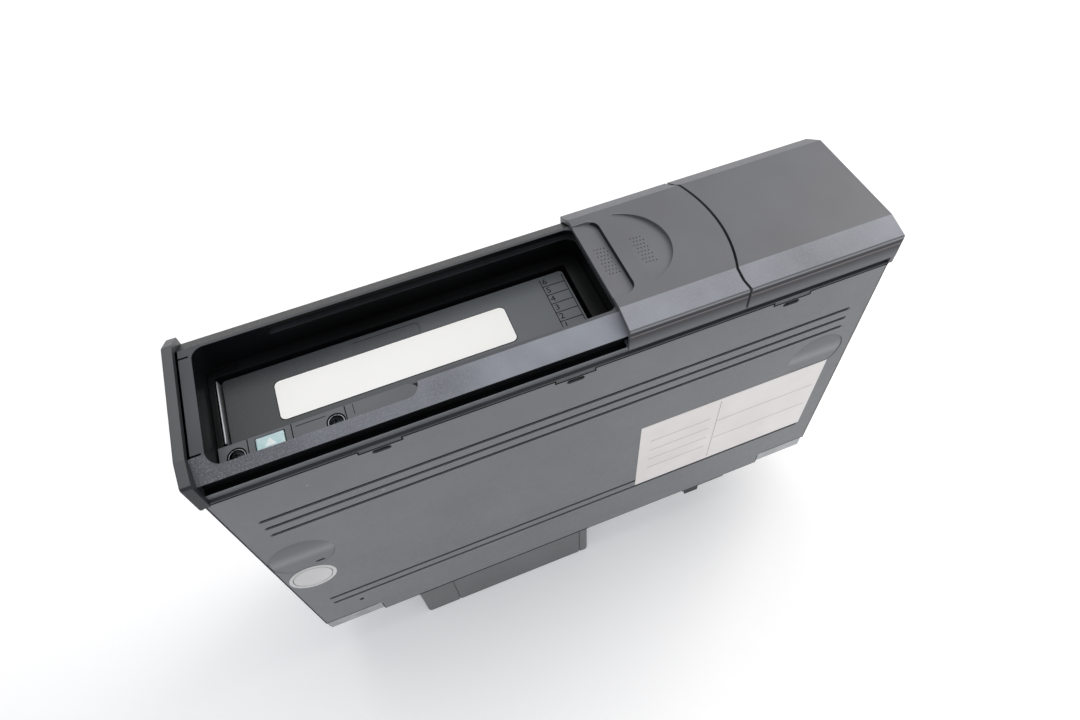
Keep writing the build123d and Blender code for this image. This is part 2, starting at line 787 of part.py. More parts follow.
# ---------------------------------------------------------------- magazine and trays
slot_centres = [
    magazine_centre_y + (k - (tray_count - 1) / 2) * slot_pitch for k in range(tray_count)
]
rib_room = slot_pitch - tray_thickness

with BuildPart() as magazine_case:
    block((magazine_left, magazine_right), (magazine_near, magazine_far), (z_magazine, z_magazine_top))
    fillet(magazine_case.edges().filter_by(Axis.Z), 1.2)
    block(
        (magazine_left + magazine_wall, magazine_right + 1),
        (magazine_near + magazine_side_wall, magazine_far - magazine_side_wall),
        (z_magazine + magazine_wall, z_magazine_top - magazine_wall),
        Mode.SUBTRACT,
    )
    # guides between the trays
    for k in range(tray_count - 1):
        rib_y = (slot_centres[k] + slot_centres[k + 1]) / 2
        rib_half_width = rib_room / 2 - contact_gap
        for rib_z in (
            (z_magazine + magazine_wall - 0.1, z_magazine + magazine_wall + guide_rib),
            (z_magazine_top - magazine_wall - guide_rib, z_magazine_top - magazine_wall + 0.1),
        ):
            block((magazine_left + 1, magazine_right), (rib_y - rib_half_width, rib_y + rib_half_width), rib_z)
    # shallow finger pad behind the label
    with BuildSketch(Plane.XY.offset(z_magazine_top)):
        with Locations((magazine_left + pad_inset, magazine_far - 4.5)):
            RectangleRounded(pad_length, 5.4, 1.2)
    extrude(amount=-0.35, mode=Mode.SUBTRACT)
    # ladder beside the label: a line between every two trays
    for k in range(tray_count - 1):
        line_y = (slot_centres[k] + slot_centres[k + 1]) / 2
        block((magazine_right - 9.2, magazine_right - 0.8), (line_y - 0.15, line_y + 0.15),
              (z_magazine_top - 0.3, z_magazine_top + 1), Mode.SUBTRACT)
save(magazine_case, "magazine_case")

with BuildPart() as magazine_label:
    label_x = (magazine_left + 16.5, magazine_right - 25.4)
    label_y = (magazine_near + 3.6, magazine_far - 7.5)
    block(label_x, label_y, (z_magazine_top, z_magazine_top + label_sheet))
    fillet(magazine_label.edges().filter_by(Axis.Z), 2.0)
save(magazine_label, "magazine_label")

for k, slot_y in enumerate(slot_centres):
    with BuildPart() as tray:
        tray_y = (slot_y - tray_thickness / 2, slot_y + tray_thickness / 2)
        block((tray_left, tray_right), tray_y, (tray_low, tray_high))
        # disc seat, open towards +Y
        bar_y(disc_x, disc_z, tray_seat_radius, (tray_y[1] - tray_seat_depth, tray_y[1] + 1), Mode.SUBTRACT)
        # window for the platter and the pickup, open to the right
        bar_y(disc_x, disc_z, window_radius, (tray_y[0] - 1, tray_y[1] + 1), Mode.SUBTRACT)
        block((disc_x, tray_right + 1), (tray_y[0] - 1, tray_y[1] + 1),
              (disc_z - window_radius, disc_z + window_radius), Mode.SUBTRACT)
        # notch for the picker
        block((tray_right - 4, tray_right - 2), (tray_y[0] - 1, tray_y[1] + 1),
              (tray_low - 1, tray_low + 6), Mode.SUBTRACT)
    save(tray, f"tray_{k + 1}")

# ---------------------------------------------------------------- eject arm
arm_z = z_bay_floor - 1.4

with BuildPart() as eject_arm:
    arm_y = (magazine_centre_y - arm_half, magazine_centre_y + arm_half)
    block(arm_x, arm_y, (arm_z - 1.5, arm_z + 1.1))
    bar_y(arm_x[1], arm_z, 2.2, arm_y)
    block((arm_x[0], arm_x[0] + 5), arm_y, (arm_z, z_magazine - contact_gap))
    bar_y(arm_x[1], arm_z, 1.0 + post_play, (arm_y[0] - 1, arm_y[1] + 1), Mode.SUBTRACT)
save(eject_arm, "eject_arm")

with BuildPart() as eject_arm_pin:
    bar_y(arm_x[1], arm_z, 1.0, (arm_y[0] - 3, arm_y[1] + 3))
    for ear in ((arm_y[0] - 2.5, arm_y[0] - 0.5), (arm_y[1] + 0.5, arm_y[1] + 2.5)):
        block((arm_x[1] - 2.5, arm_x[1] + 2.5), ear, (z_rear + chassis_sheet, arm_z + 1.0))
save(eject_arm_pin, "eject_arm_pin")

# ---------------------------------------------------------------- rear of the case
shroud_y = (-y_face + 0.9, y_face - 11.8)
shroud_wall = 2.0

with BuildPart() as rear_shroud:
    with BuildSketch(Plane.XY) as shroud_outline:
        with Locations((middle(shroud_x), middle(shroud_y))):
            RectangleRounded(size(shroud_x), size(shroud_y), 2.0)
            RectangleRounded(size(shroud_x) - 2 * shroud_wall, size(shroud_y) - 2 * shroud_wall, 0.8,
                             mode=Mode.SUBTRACT)
    extrude(amount=shroud_drop)
    # seams of the three shroud sections
    for line_x in (shroud_x[0] + 16.6, shroud_x[1] - 4.8):
        block((line_x - 0.3, line_x + 0.3), (shroud_y[0] - 1, shroud_y[0] + 0.5), (-1, shroud_drop + 1),
              Mode.SUBTRACT)
save(rear_shroud, "rear_shroud")

with BuildPart() as rear_connector:
    block(connector_x, connector_y, (8.0, z_rear + 12))
    block((connector_x[0] + 2, connector_x[1] - 2), (connector_y[0] + 2, connector_y[1] - 2), (7.0, 20.0),
          Mode.SUBTRACT)
save(rear_connector, "rear_connector")

hook_y = (-y_face + 4.6, -y_face + 10.8)
hook_bar_x = (x_end - 67.3, x_end - 44.5)
hook_tab_x = (x_end - 65.5, x_end - 58.5)

with BuildPart() as rear_hook:
    block(hook_bar_x, (hook_y[0], hook_y[1] + 11.0), (z_rear - 1.6, z_rear))
    block(hook_tab_x, hook_y, (z_rear - 7.0, z_rear))
    fillet(rear_hook.edges().group_by(Axis.Z)[0], 0.8)
save(rear_hook, "rear_hook")

with BuildPart() as rating_label:
    block((x_side - 93.8, x_side - 8.8), (-y_face - label_sheet, -y_face), (z_rear + 29.3, z_rear + 81.0))
save(rating_label, "rating_label")

with BuildPart() as round_sticker:
    bar_y(-x_side + 10.7, z_rear + 61.0, 9.0, (-y_face - label_sheet, -y_face))
save(round_sticker, "round_sticker")

# ---------------------------------------------------------------- disc drive, right half of the case
tongue_top = z_seam + 3.0
base_y = deck_y + deck_sheet + damper_height
base_face = base_y + deck_sheet
base_x = (spindle_x - 19.4, deck_right + 0.2)
base_half = 36.0
sled_room = (sled_x - sled_length / 2 - 1.5, sled_x + sled_travel + sled_length / 2 + 0.4)
screw_z = disc_z + screw_z_offset
motor_x = (sled_x - 30.0, sled_x - 12.0)
bearing_x = ((motor_x[1] + 2.0, motor_x[1] + 3.5), (deck_right - 2.3, deck_right - 0.8))
lead_radius = 1.2

with BuildPart() as lift_guide_posts:
    # the right one stands on the chassis strip behind the cut-back corner
    for post_x, post_foot in zip(post_places, (-y_inside, -y_inside + sheet)):
        bar_y(post_x, guide_z, post_radius, (post_foot, y_inside))
save(lift_guide_posts, "lift_guide_posts")

with BuildPart() as deck_guide_rail:
    # channel under the moulded front, in which the tongues of both decks run
    rail_top = leaf_slot_floor - 2
    for rail_x in ((tongue_x[0] - contact_gap - 1.2, tongue_x[0] - contact_gap),
                   (tongue_x[1] + contact_gap, tongue_x[1] + contact_gap + 1.2)):
        block(rail_x, (-22, 22), (z_seam - 2, rail_top))
    block((tongue_x[0] - 4, tongue_x[1] + 4), (-22, 22), (rail_top - 1.2, rail_top))
save(deck_guide_rail, "deck_guide_rail")


def deck_plate(y, lug_span, post_x, screw_x):
    """Deck plate with its tongue, and a lug round its guide post and its screw."""
    block((deck_left, deck_right), (y, y + deck_sheet), (deck_low, deck_high))
    block(tongue_x, (y, y + deck_sheet), (deck_high - 1, tongue_top))
    for lug_x, bore in ((post_x, post_radius), (screw_x, lift_screw_radius)):
        block((lug_x - lug_radius, lug_x + lug_radius), lug_span, (guide_z - lug_radius, guide_z + lug_radius))
        block((lug_x - lug_radius, lug_x + lug_radius), (y, y + deck_sheet), (guide_z, deck_low + 1))
        bar_y(lug_x, guide_z, bore + post_play, (-y_inside, y_inside), Mode.SUBTRACT)


with BuildPart() as lower_deck:
    deck_plate(deck_y, (deck_y, deck_y + lug_length), post_places[0], lift_screw_x)
    # windows for the spindle motor, the pickup and its motor
    bar_y(spindle_x, disc_z, motor_radius + 2, (deck_y - 1, deck_y + 2), Mode.SUBTRACT)
    block((sled_room[0] - 1, deck_right - 3), (deck_y - 1, deck_y + 2), (disc_z - sled_half - 8, disc_z + sled_half + 2),
          Mode.SUBTRACT)
    block((motor_x[0] - 4, motor_x[1] + 2), (deck_y - 1, deck_y + 2), (screw_z - 7, screw_z + 7), Mode.SUBTRACT)
save(lower_deck, "lower_deck")

damper_places = (
    (spindle_x - 13.4, disc_z - 30),
    (spindle_x - 13.4, disc_z + 30),
    (deck_right - 6.8, disc_z + 31),
)

with BuildPart() as deck_dampers:
    for damper_x, damper_z in damper_places:
        bar_y(damper_x, damper_z, 3.5, (deck_y + deck_sheet, base_y))
save(deck_dampers, "deck_dampers")

with BuildPart() as drive_base:
    block(base_x, (base_y, base_face), (disc_z - base_half, disc_z + base_half))
    block(sled_room, (base_y - 1, base_face + 1), (disc_z - sled_half - 1.5, disc_z + sled_half + 1.5),
          Mode.SUBTRACT)
    # posts that hold the two guide rods
    rod_span = (sled_room[0] - 2.5, sled_room[1] + 0.6)
    for rod_side in (-1, 1):
        rod_z = disc_z + rod_side * rod_spread
        for block_x in ((rod_span[0], sled_room[0]), (sled_room[1], sled_room[1] + 1.6)):
            block(block_x, (base_face, rod_y + 2), (rod_z - 3, rod_z + 3))
        bar_x(rod_y, rod_z, rod_radius, (rod_span[0] - 1, sled_room[1] + 3), Mode.SUBTRACT)
    # bearings of the lead screw and the slot under its motor
    block((motor_x[0] - 2, motor_x[1] + 1), (base_y - 1, base_face + 1), (screw_z - 6, screw_z + 6), Mode.SUBTRACT)
    for block_x in bearing_x:
        block(block_x, (base_y, rod_y + 2), (screw_z - 3, screw_z + 3))
    bar_x(rod_y, screw_z, lead_radius + post_play, (motor_x[1], deck_right + 1), Mode.SUBTRACT)
    # spindle hole
    bar_y(spindle_x, disc_z, 4.0, (base_y - 1, base_face + 1), Mode.SUBTRACT)
save(drive_base, "drive_base")

with BuildPart() as spindle_motor:
    bar_y(spindle_x, disc_z, motor_radius, (base_y - 6, base_y))
    bar_y(spindle_x, disc_z, 0.75, (base_y, platter_y + cone_height - 0.2))
save(spindle_motor, "spindle_motor")

with BuildPart() as turntable:
    # platter, hub and centring cone turned in one piece
    with BuildSketch(Plane.XY.offset(disc_z)):
        shaft = 0.75 + 0.05
        with BuildLine():
            Polyline(
                (spindle_x + shaft, platter_y - 1.6),
                (spindle_x + platter_radius, platter_y - 1.6),
                (spindle_x + platter_radius, platter_y),
                (spindle_x + cone_radius, platter_y),
                (spindle_x + cone_radius, platter_y + cone_height),
                (spindle_x + shaft, platter_y + cone_height),
                close=True,
            )
        make_face()
    revolve(axis=Axis((spindle_x, 0, disc_z), (0, 1, 0)))
save(turntable, "turntable")

with BuildPart() as guide_rods:
    for rod_side in (-1, 1):
        bar_x(rod_y, disc_z + rod_side * rod_spread, rod_radius, rod_span)
save(guide_rods, "guide_rods")

with BuildPart() as pickup_sled:
    sled_span = (sled_x - sled_length / 2, sled_x + sled_length / 2)
    block(sled_span, (base_y + 0.2, platter_y - 2.0), (disc_z - sled_half, disc_z + sled_half))
    # arm with the half nut
    block((sled_x - 3, sled_x + 3), (base_face + 0.3, rod_y + 1.8), (screw_z - 0.5, disc_z - sled_half + 1))
    for rod_side in (-1, 1):
        bar_x(rod_y, disc_z + rod_side * rod_spread, rod_radius + post_play, (sled_x - 10, sled_x + 10), Mode.SUBTRACT)
    bar_x(rod_y, screw_z, lead_radius + 2 * post_play, (sled_x - 10, sled_x + 10), Mode.SUBTRACT)
save(pickup_sled, "pickup_sled")

with BuildPart() as pickup_lens:
    bar_y(sled_x, disc_z, 3.2, (platter_y - 2.0, platter_y - 1.2))
    bar_y(sled_x, disc_z, 2.0, (platter_y - 1.2, platter_y - 0.8))
save(pickup_lens, "pickup_lens")

with BuildPart() as lead_screw:
    bar_x(rod_y, screw_z, lead_radius, (motor_x[1] + 0.5, bearing_x[1][1]))
save(lead_screw, "lead_screw")

with BuildPart() as sled_motor:
    bar_x(rod_y, screw_z, 4.0, motor_x)
    block((motor_x[0] - 1, motor_x[0] + 1), (base_face, rod_y), (screw_z - 8, screw_z + 8))
save(sled_motor, "sled_motor")

with BuildPart() as clamp_deck:
    deck_plate(clamp_deck_y - deck_sheet, (clamp_deck_y - lug_length, clamp_deck_y), post_places[1], clamp_screw_x)
    bar_y(spindle_x, disc_z, 4.3, (clamp_deck_y - 2, clamp_deck_y + 1), Mode.SUBTRACT)
save(clamp_deck, "clamp_deck")

with BuildPart() as clamper:
    # puck under the deck, held by its collar on top
    with BuildSketch(Plane.XY.offset(disc_z)):
        with BuildLine():
            Polyline(
                (spindle_x, clamper_y + 1.6),
                (spindle_x + cone_radius + 0.6, clamper_y + 1.6),
                (spindle_x + cone_radius + 0.6, clamper_y),
                (spindle_x + clamper_radius, clamper_y),
                (spindle_x + clamper_radius, clamper_y + 2.4),
                (spindle_x + 4.0, clamper_y + 2.4),
                (spindle_x + 4.0, clamp_deck_y + contact_gap),
                (spindle_x + 7.0, clamp_deck_y + contact_gap),
                (spindle_x + 7.0, clamp_deck_y + 1.3),
                (spindle_x, clamp_deck_y + 1.3),
                close=True,
            )
        make_face()
    revolve(axis=Axis((spindle_x, 0, disc_z), (0, 1, 0)))
save(clamper, "clamper")


def lift_spindle(x, foot, y_gear):
    """Screw along Y with its gear; drawn inside the screw's own block."""
    bar_y(x, guide_z, lift_screw_radius, (foot + contact_gap, y_inside - contact_gap))
    bar_y(x, guide_z, gear_radius, y_gear)


with BuildPart() as lift_screw:
    lift_spindle(lift_screw_x, -y_inside, (-y_inside + 2.6, -y_inside + 4.6))
save(lift_screw, "lift_screw")

with BuildPart() as clamp_screw:
    lift_spindle(clamp_screw_x, -y_inside + sheet, (y_inside - 4.6, y_inside - 2.6))
save(clamp_screw, "clamp_screw")


def lift_motor_body(x, wall, inward):
    """Flat motor on one cover with a pinion beside the gear of its screw."""
    bar_y(x, guide_z, lift_motor_radius, sorted((wall, wall + inward * 2.3)))
    bar_y(x, guide_z, 1.2, sorted((wall, wall + inward * 4.6)))


pinion_distance = gear_radius + 1.2 + contact_gap

with BuildPart() as lift_motor:
    lift_motor_body(lift_screw_x + pinion_distance, -y_inside, 1)
save(lift_motor, "lift_motor")

with BuildPart() as clamp_motor:
    lift_motor_body(clamp_screw_x - pinion_distance, y_inside, -1)
save(clamp_motor, "clamp_motor")

picker_z = (tray_low + 0.6, tray_low + 6.2)

with BuildPart() as tray_picker:
    block((magazine_right + 1.5, magazine_right + 7), (deck_y + deck_sheet + 0.1, -12.2), picker_z)
save(tray_picker, "tray_picker")
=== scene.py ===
# %% [markdown]
# # A car changer for six discs, dressed in Blender
# The CAD model gives every piece its shape, its size and its place.
# This lesson adds what the eye needs on top: rounded edges, printed marks, small screws,
# and a material for each piece, from painted steel to the film of a label.
# Every length below is written in millimetres and turned to metres once.

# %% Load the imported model
import json
import math

import bmesh
import bpy
from mathutils import Matrix, Vector


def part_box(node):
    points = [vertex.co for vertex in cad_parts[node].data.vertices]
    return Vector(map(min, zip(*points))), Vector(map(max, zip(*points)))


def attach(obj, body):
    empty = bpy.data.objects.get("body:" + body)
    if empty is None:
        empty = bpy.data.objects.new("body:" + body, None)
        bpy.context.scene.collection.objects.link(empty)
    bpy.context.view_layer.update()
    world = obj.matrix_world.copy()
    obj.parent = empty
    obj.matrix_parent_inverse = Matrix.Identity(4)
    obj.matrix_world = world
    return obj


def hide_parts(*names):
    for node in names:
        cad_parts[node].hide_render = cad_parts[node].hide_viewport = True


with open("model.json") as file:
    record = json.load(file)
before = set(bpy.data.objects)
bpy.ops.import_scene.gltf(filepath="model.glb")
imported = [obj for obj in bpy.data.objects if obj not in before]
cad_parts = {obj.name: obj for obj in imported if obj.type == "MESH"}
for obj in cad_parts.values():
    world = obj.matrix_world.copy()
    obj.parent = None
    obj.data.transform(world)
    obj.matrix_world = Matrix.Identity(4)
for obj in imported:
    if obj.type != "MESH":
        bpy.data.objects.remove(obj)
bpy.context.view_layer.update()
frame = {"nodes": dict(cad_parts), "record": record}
nodes = frame["nodes"]
MM = 0.001

# %% [markdown]
# ## Two helpers for materials
# A colour is easy to read off as an sRGB hex value, but a shader works with linear light,
# so one function turns the one into the other. A second function adds any node with its
# settings and its links, which keeps each material down to the lines that matter.


# %% Colour and node helpers
def linear(hex_colour):
    """sRGB hex to the linear RGBA that a socket takes."""
    channels = [int(hex_colour[start : start + 2], 16) / 255 for start in (1, 3, 5)]
    return (*(c / 12.92 if c <= 0.04045 else ((c + 0.055) / 1.055) ** 2.4 for c in channels), 1.0)


def add_node(tree, kind, settings=None, links=None):
    """A node with its settings; links gives the output that feeds each input."""
    node = tree.nodes.new(kind)
    for name, value in (settings or {}).items():
        if isinstance(name, int) or name in node.inputs:
            node.inputs[name].default_value = value
        else:
            setattr(node, name, value)
    for name, source in (links or {}).items():
        tree.links.new(source, node.inputs[name])
    return node


def start_material(name, roughness, metallic=0.0, **sockets):
    """A new material: itself, its tree, its shader and the object's own coordinates."""
    material = bpy.data.materials.new(name)
    material.use_nodes = True
    tree = material.node_tree
    shader = tree.nodes["Principled BSDF"]
    shader.inputs["Roughness"].default_value = roughness
    shader.inputs["Metallic"].default_value = metallic
    for socket, value in sockets.items():
        shader.inputs[socket.replace("_", " ")].default_value = value
    place = add_node(tree, "ShaderNodeTexCoord").outputs["Object"]
    return material, tree, shader, place


def grains(tree, place, size_mm, detail=2.0):
    """Noise whose blobs are about size_mm across; detail adds finer layers to it."""
    settings = {"Scale": 1 / (size_mm * MM), "Detail": detail, "Roughness": 0.55}
    return add_node(tree, "ShaderNodeTexNoise", settings, {"Vector": place}).outputs["Fac"]


def spread(tree, source, low, high, to_low=0.0, to_high=1.0):
    """Stretches the part of a value between low and high over a new range."""
    settings = {"From Min": low, "From Max": high, "To Min": to_low, "To Max": to_high}
    return add_node(tree, "ShaderNodeMapRange", settings, {"Value": source}).outputs["Result"]


def blend_colours(tree, amount, first, second):
    """Mixes two colours; each is a hex value or another node's output."""
    mix = add_node(tree, "ShaderNodeMix", {"data_type": "RGBA"}, {0: amount})
    for index, colour in ((6, first), (7, second)):
        if isinstance(colour, str):
            mix.inputs[index].default_value = linear(colour)
        else:
            tree.links.new(colour, mix.inputs[index])
    return mix.outputs[2]


def raise_surface(tree, shader, height, depth_mm):
    """Bump of a real depth."""
    settings = {"Distance": depth_mm * MM, "Strength": 1.0}
    bump = add_node(tree, "ShaderNodeBump", settings, {"Height": height})
    tree.links.new(bump.outputs["Normal"], shader.inputs["Normal"])


# %% [markdown]
# ## Grained plastic
# The front, the magazine and the shroud are ABS, moulded in a spark-eroded tool.
# Such a tool leaves a fine leathery grain that scatters light, so the plastic looks satin
# and never quite the same shade twice; the slopes that face the light get a painted highlight.
# Two noises do it: a wide one that shifts the shade, and one as fine as the grain.
# The real grain is about 0.15 mm, too fine for the picture, so it is drawn at 0.6 mm.
# A face that the light reaches less at one end also fades to a darker shade along X.


# %% Grained plastic
def grained_abs(
    name, shade, pale, roughness,
    grain_mm=0.6, grain_depth_mm=0.012, patch_mm=35, sparkle=0.35, shade_fade=None, shine=0.5,
):
    """Shade_fade is painted shade along X: a darker colour, the X in millimetres where it is full
    and the X where it is gone.
    """
    material, tree, shader, place = start_material(name, roughness, Specular_IOR_Level=shine)
    grain = grains(tree, place, grain_mm)
    patches = spread(tree, grains(tree, place, patch_mm, 3.0), 0.3, 0.7)
    wide = blend_colours(tree, patches, shade, pale)
    # painted shade that fades in along X
    if shade_fade:
        dark, dark_x, full_x = shade_fade
        along = add_node(tree, "ShaderNodeSeparateXYZ", {}, {"Vector": place}).outputs["X"]
        wide = blend_colours(tree, spread(tree, along, dark_x * MM, full_x * MM), dark, wide)
    glints = spread(tree, grain, 0.45, 0.8, 0.0, sparkle)
    tree.links.new(blend_colours(tree, glints, wide, pale), shader.inputs["Base Color"])
    polish = spread(tree, grain, 0.2, 0.8, roughness - 0.06, roughness + 0.1)
    tree.links.new(polish, shader.inputs["Roughness"])
    raise_surface(tree, shader, grain, grain_depth_mm)
    return material


front_abs = grained_abs("anthracite_abs", "#606064", "#696a6e", 0.42)
# painted highlight: a paler copy of the front plastic with more glints, for the slopes that face
# the light
lit_slope_abs = grained_abs(
    "anthracite_abs_lit_slope", "#797a80", "#9c9ea6", 0.4, grain_mm=0.5, sparkle=0.6,
)
# painted highlight: a paler copy of the track plastic for the rail's slope, with painted shade
# fading in at its left end
lit_rail_slope_abs = grained_abs(
    "track_abs_lit_slope", "#73747a", "#9b9ea6", 0.4, grain_mm=0.5, sparkle=0.6,
    shade_fade=("#54555a", -125.0, -30.0),
)
# painted shade for the deep wall of a hollow
hollow_shade_abs = grained_abs("anthracite_abs_hollow_shade", "#1c1d20", "#2a2b2e", 0.36, shine=0.2)
track_abs = grained_abs("track_abs", "#3f4044", "#4a4c50", 0.42, sparkle=0.5)
# painted light: a paler copy of the track plastic for the band above the seam, which the rail's
# overhang shades
lit_band_abs = grained_abs("track_abs_lit_band", "#717376", "#7a7c80", 0.45, grain_depth_mm=0.006)
cap_abs = grained_abs("end_cap_abs", "#505153", "#595a5c", 0.42, grain_depth_mm=0.008)
# painted shade: a darker copy of the cap plastic
cap_shade_abs = grained_abs(
    "end_cap_abs_shade", "#2b2c2f", "#36373a", 0.36, grain_depth_mm=0.008, shine=0.3,
)
ledge_abs = grained_abs(
    "ledge_abs", "#585b5f", "#606367", 0.38, grain_depth_mm=0.005, sparkle=0.2,
)
# painted shade: the magazine fades to a darker colour towards its left end
magazine_abs = grained_abs(
    "magazine_abs", "#585c5f", "#62666a", 0.36, grain_depth_mm=0.006, sparkle=0.2,
    shade_fade=("#26292b", -125.0, 10.0),
)
shroud_abs = grained_abs("shroud_abs", "#68696a", "#717273", 0.5)
tray_abs = grained_abs("tray_abs", "#3c3e42", "#45474b", 0.4, grain_depth_mm=0.005)
black_abs = grained_abs(
    "black_abs", "#0b0c0d", "#111214", 0.34, grain_depth_mm=0.003, sparkle=0.1, shine=0.18,
)
print("plastics", len(bpy.data.materials))

# %% [markdown]
# ## Painted and plated steel
# The covers are thin steel with baked grey paint: smooth to the hand, with a faint orange peel
# and, after years in a car, a few pale nicks and specks of dirt. The sheets inside are zinc
# plated, and zinc freezes in flat crystals that catch the light one by one, which Voronoi
# cells copy well. Turned bars and screws are bright steel with fine rings from the lathe.


# %% Painted steel
def painted_steel(name, shade, pale):
    """Paint with an orange peel of 1.6 mm."""
    material, tree, shader, place = start_material(name, 0.38)
    patches = spread(tree, grains(tree, place, 45, 3.0), 0.3, 0.7)
    paint = blend_colours(tree, patches, shade, pale)
    # nicks: the highest crests of a 7 mm noise, a millimetre or less across
    nicks = spread(tree, grains(tree, place, 7.0, 4.0), 0.735, 0.76)
    marked = blend_colours(tree, nicks, paint, "#b4b4b2")
    # and its deepest hollows are specks of dirt
    specks = spread(tree, grains(tree, place, 5.0, 4.0), 0.255, 0.235)
    tree.links.new(blend_colours(tree, specks, marked, "#2c2d2f"), shader.inputs["Base Color"])
    peel = grains(tree, place, 1.6, 2.0)
    tree.links.new(spread(tree, peel, 0.3, 0.7, 0.34, 0.44), shader.inputs["Roughness"])
    raise_surface(tree, shader, peel, 0.01)
    return material


def zinc_plated(name, shade, pale):
    """Zinc in crystals of 6 mm."""
    material, tree, shader, place = start_material(name, 0.4, metallic=0.85)
    cells = add_node(tree, "ShaderNodeTexVoronoi", {"Scale": 1 / (6 * MM)}, {"Vector": place})
    split = add_node(tree, "ShaderNodeSeparateColor", {}, {"Color": cells.outputs["Color"]})
    level = split.outputs["Red"]
    tree.links.new(blend_colours(tree, level, shade, pale), shader.inputs["Base Color"])
    tree.links.new(spread(tree, level, 0.0, 1.0, 0.32, 0.46), shader.inputs["Roughness"])
    raise_surface(tree, shader, grains(tree, place, 1.2), 0.006)
    return material


def turned_steel(name, shade, pale, rings_mm=0.5):
    """Steel with the fine rings of a lathe."""
    material, tree, shader, place = start_material(name, 0.25, metallic=1.0)
    wave = {"Scale": 1 / (rings_mm * 20 * MM), "Distortion": 1.5, "bands_direction": "DIAGONAL"}
    rings = add_node(tree, "ShaderNodeTexWave", wave, {"Vector": place}).outputs["Fac"]
    tree.links.new(blend_colours(tree, rings, shade, pale), shader.inputs["Base Color"])
    tree.links.new(spread(tree, rings, 0.0, 1.0, 0.2, 0.32), shader.inputs["Roughness"])
    raise_surface(tree, shader, rings, 0.004)
    return material


case_paint = painted_steel("grey_painted_steel", "#6d6f72", "#76787b")
inner_zinc = zinc_plated("zinc_plated_sheet", "#9a9c9e", "#b6b8ba")
bright_steel = turned_steel("turned_steel", "#a5a7a9", "#c4c6c8")
dark_screw = turned_steel("blackened_steel", "#18191b", "#2c2e31", 0.4)
spring_steel = zinc_plated("spring_steel", "#c4c8cc", "#dfe2e5")
print("metals", len(bpy.data.materials))

# %% [markdown]
# ## Printed film, circuit board and the rest
# The rating label and the sticker are printed film, slightly pink and slightly glossy.
# The board is glass fibre under green lacquer, with copper tracks that show as paler lines.
# The remaining pieces are small: black chips, aluminium cans, rubber, a zinc casting and a lens.


# %% Film, board and small parts
def printed_film(name, shade, pale):
    """Film with a fine weave that shows a little through its print."""
    material, tree, shader, place = start_material(name, 0.3, Coat_Weight=0.2)
    fibres = grains(tree, place, 0.9, 4.0)
    patches = grains(tree, place, 20.0, 2.0)
    aged = blend_colours(tree, spread(tree, patches, 0.3, 0.7), shade, pale)
    weave = spread(tree, fibres, 0.55, 0.75, 0.0, 0.25)
    tree.links.new(blend_colours(tree, weave, aged, pale), shader.inputs["Base Color"])
    raise_surface(tree, shader, fibres, 0.004)
    return material


def lacquered_board(name):
    """Lacquer over tracks 0.6 mm wide on a 2.5 mm grid, broken up by a wide noise."""
    material, tree, shader, place = start_material(name, 0.35, Coat_Weight=0.4)
    brick = {
        "Scale": 1 / (5 * MM), "Mortar Size": 0.06, "Mortar Smooth": 0.1,
        "Brick Width": 0.9, "Row Height": 0.5,
    }
    turn = {"Rotation": (math.radians(90), 0, 0)}
    turned = add_node(tree, "ShaderNodeMapping", turn, {"Vector": place}).outputs["Vector"]
    tracks = add_node(tree, "ShaderNodeTexBrick", brick, {"Vector": turned}).outputs["Fac"]
    gate = spread(tree, grains(tree, place, 14.0, 1.0), 0.42, 0.5)
    both = add_node(tree, "ShaderNodeMath", {"operation": "MULTIPLY"}, {0: tracks, 1: gate})
    lines = both.outputs["Value"]
    tree.links.new(blend_colours(tree, lines, "#1d4a30", "#3f7a4d"), shader.inputs["Base Color"])
    raise_surface(tree, shader, lines, 0.03)
    return material


def cast_zinc(name, shade, pale):
    """Metal with the fine skin of a casting."""
    material, tree, shader, place = start_material(name, 0.5, metallic=0.8)
    skin = grains(tree, place, 1.5, 4.0)
    mottle = spread(tree, skin, 0.3, 0.7)
    tree.links.new(blend_colours(tree, mottle, shade, pale), shader.inputs["Base Color"])
    raise_surface(tree, shader, skin, 0.03)
    return material


def clear_lens(name):
    """Clear plastic with a bluish coat."""
    material, tree, shader, place = start_material(name, 0.03, Transmission_Weight=0.6, IOR=1.49)
    tint = spread(tree, grains(tree, place, 2.0, 1.0), 0.3, 0.7)
    tree.links.new(blend_colours(tree, tint, "#b7c6ea", "#d9d2f0"), shader.inputs["Base Color"])
    return material


label_film = printed_film("rating_film", "#f1e9e6", "#f8f2ef")
magazine_film = printed_film("white_film", "#fbfaf6", "#fdfcfa")
sticker_film = printed_film("grey_film", "#d6d4d3", "#dfdddc")
board_lacquer = lacquered_board("green_board")
chip_epoxy = grained_abs("chip_epoxy", "#1c1c1d", "#252527", 0.5, patch_mm=8)
can_metal = cast_zinc("can_aluminium", "#a9abad", "#bcbec0")
damper_rubber = grained_abs("damper_rubber", "#1b1b1b", "#262626", 0.7, patch_mm=6)
cast_metal = cast_zinc("cast_zinc", "#8b8d90", "#9fa1a4")
lens_plastic = clear_lens("lens_plastic")

# %% [markdown]
# ## The eject button
# The button is pale teal polystyrene, a little see-through, so light runs along inside it.
# Some subsurface scattering over a noise of two close teals gives that milky depth.

# %% Teal button
button_teal, tree, shader, place = start_material(
    "teal_polystyrene", 0.22, Subsurface_Weight=0.25, Subsurface_Scale=0.001,
)
cloudy = spread(tree, grains(tree, place, 3.0, 2.0), 0.3, 0.7)
tree.links.new(blend_colours(tree, cloudy, "#b2d0d3", "#cae1e2"), shader.inputs["Base Color"])
raise_surface(tree, shader, grains(tree, place, 0.8), 0.004)

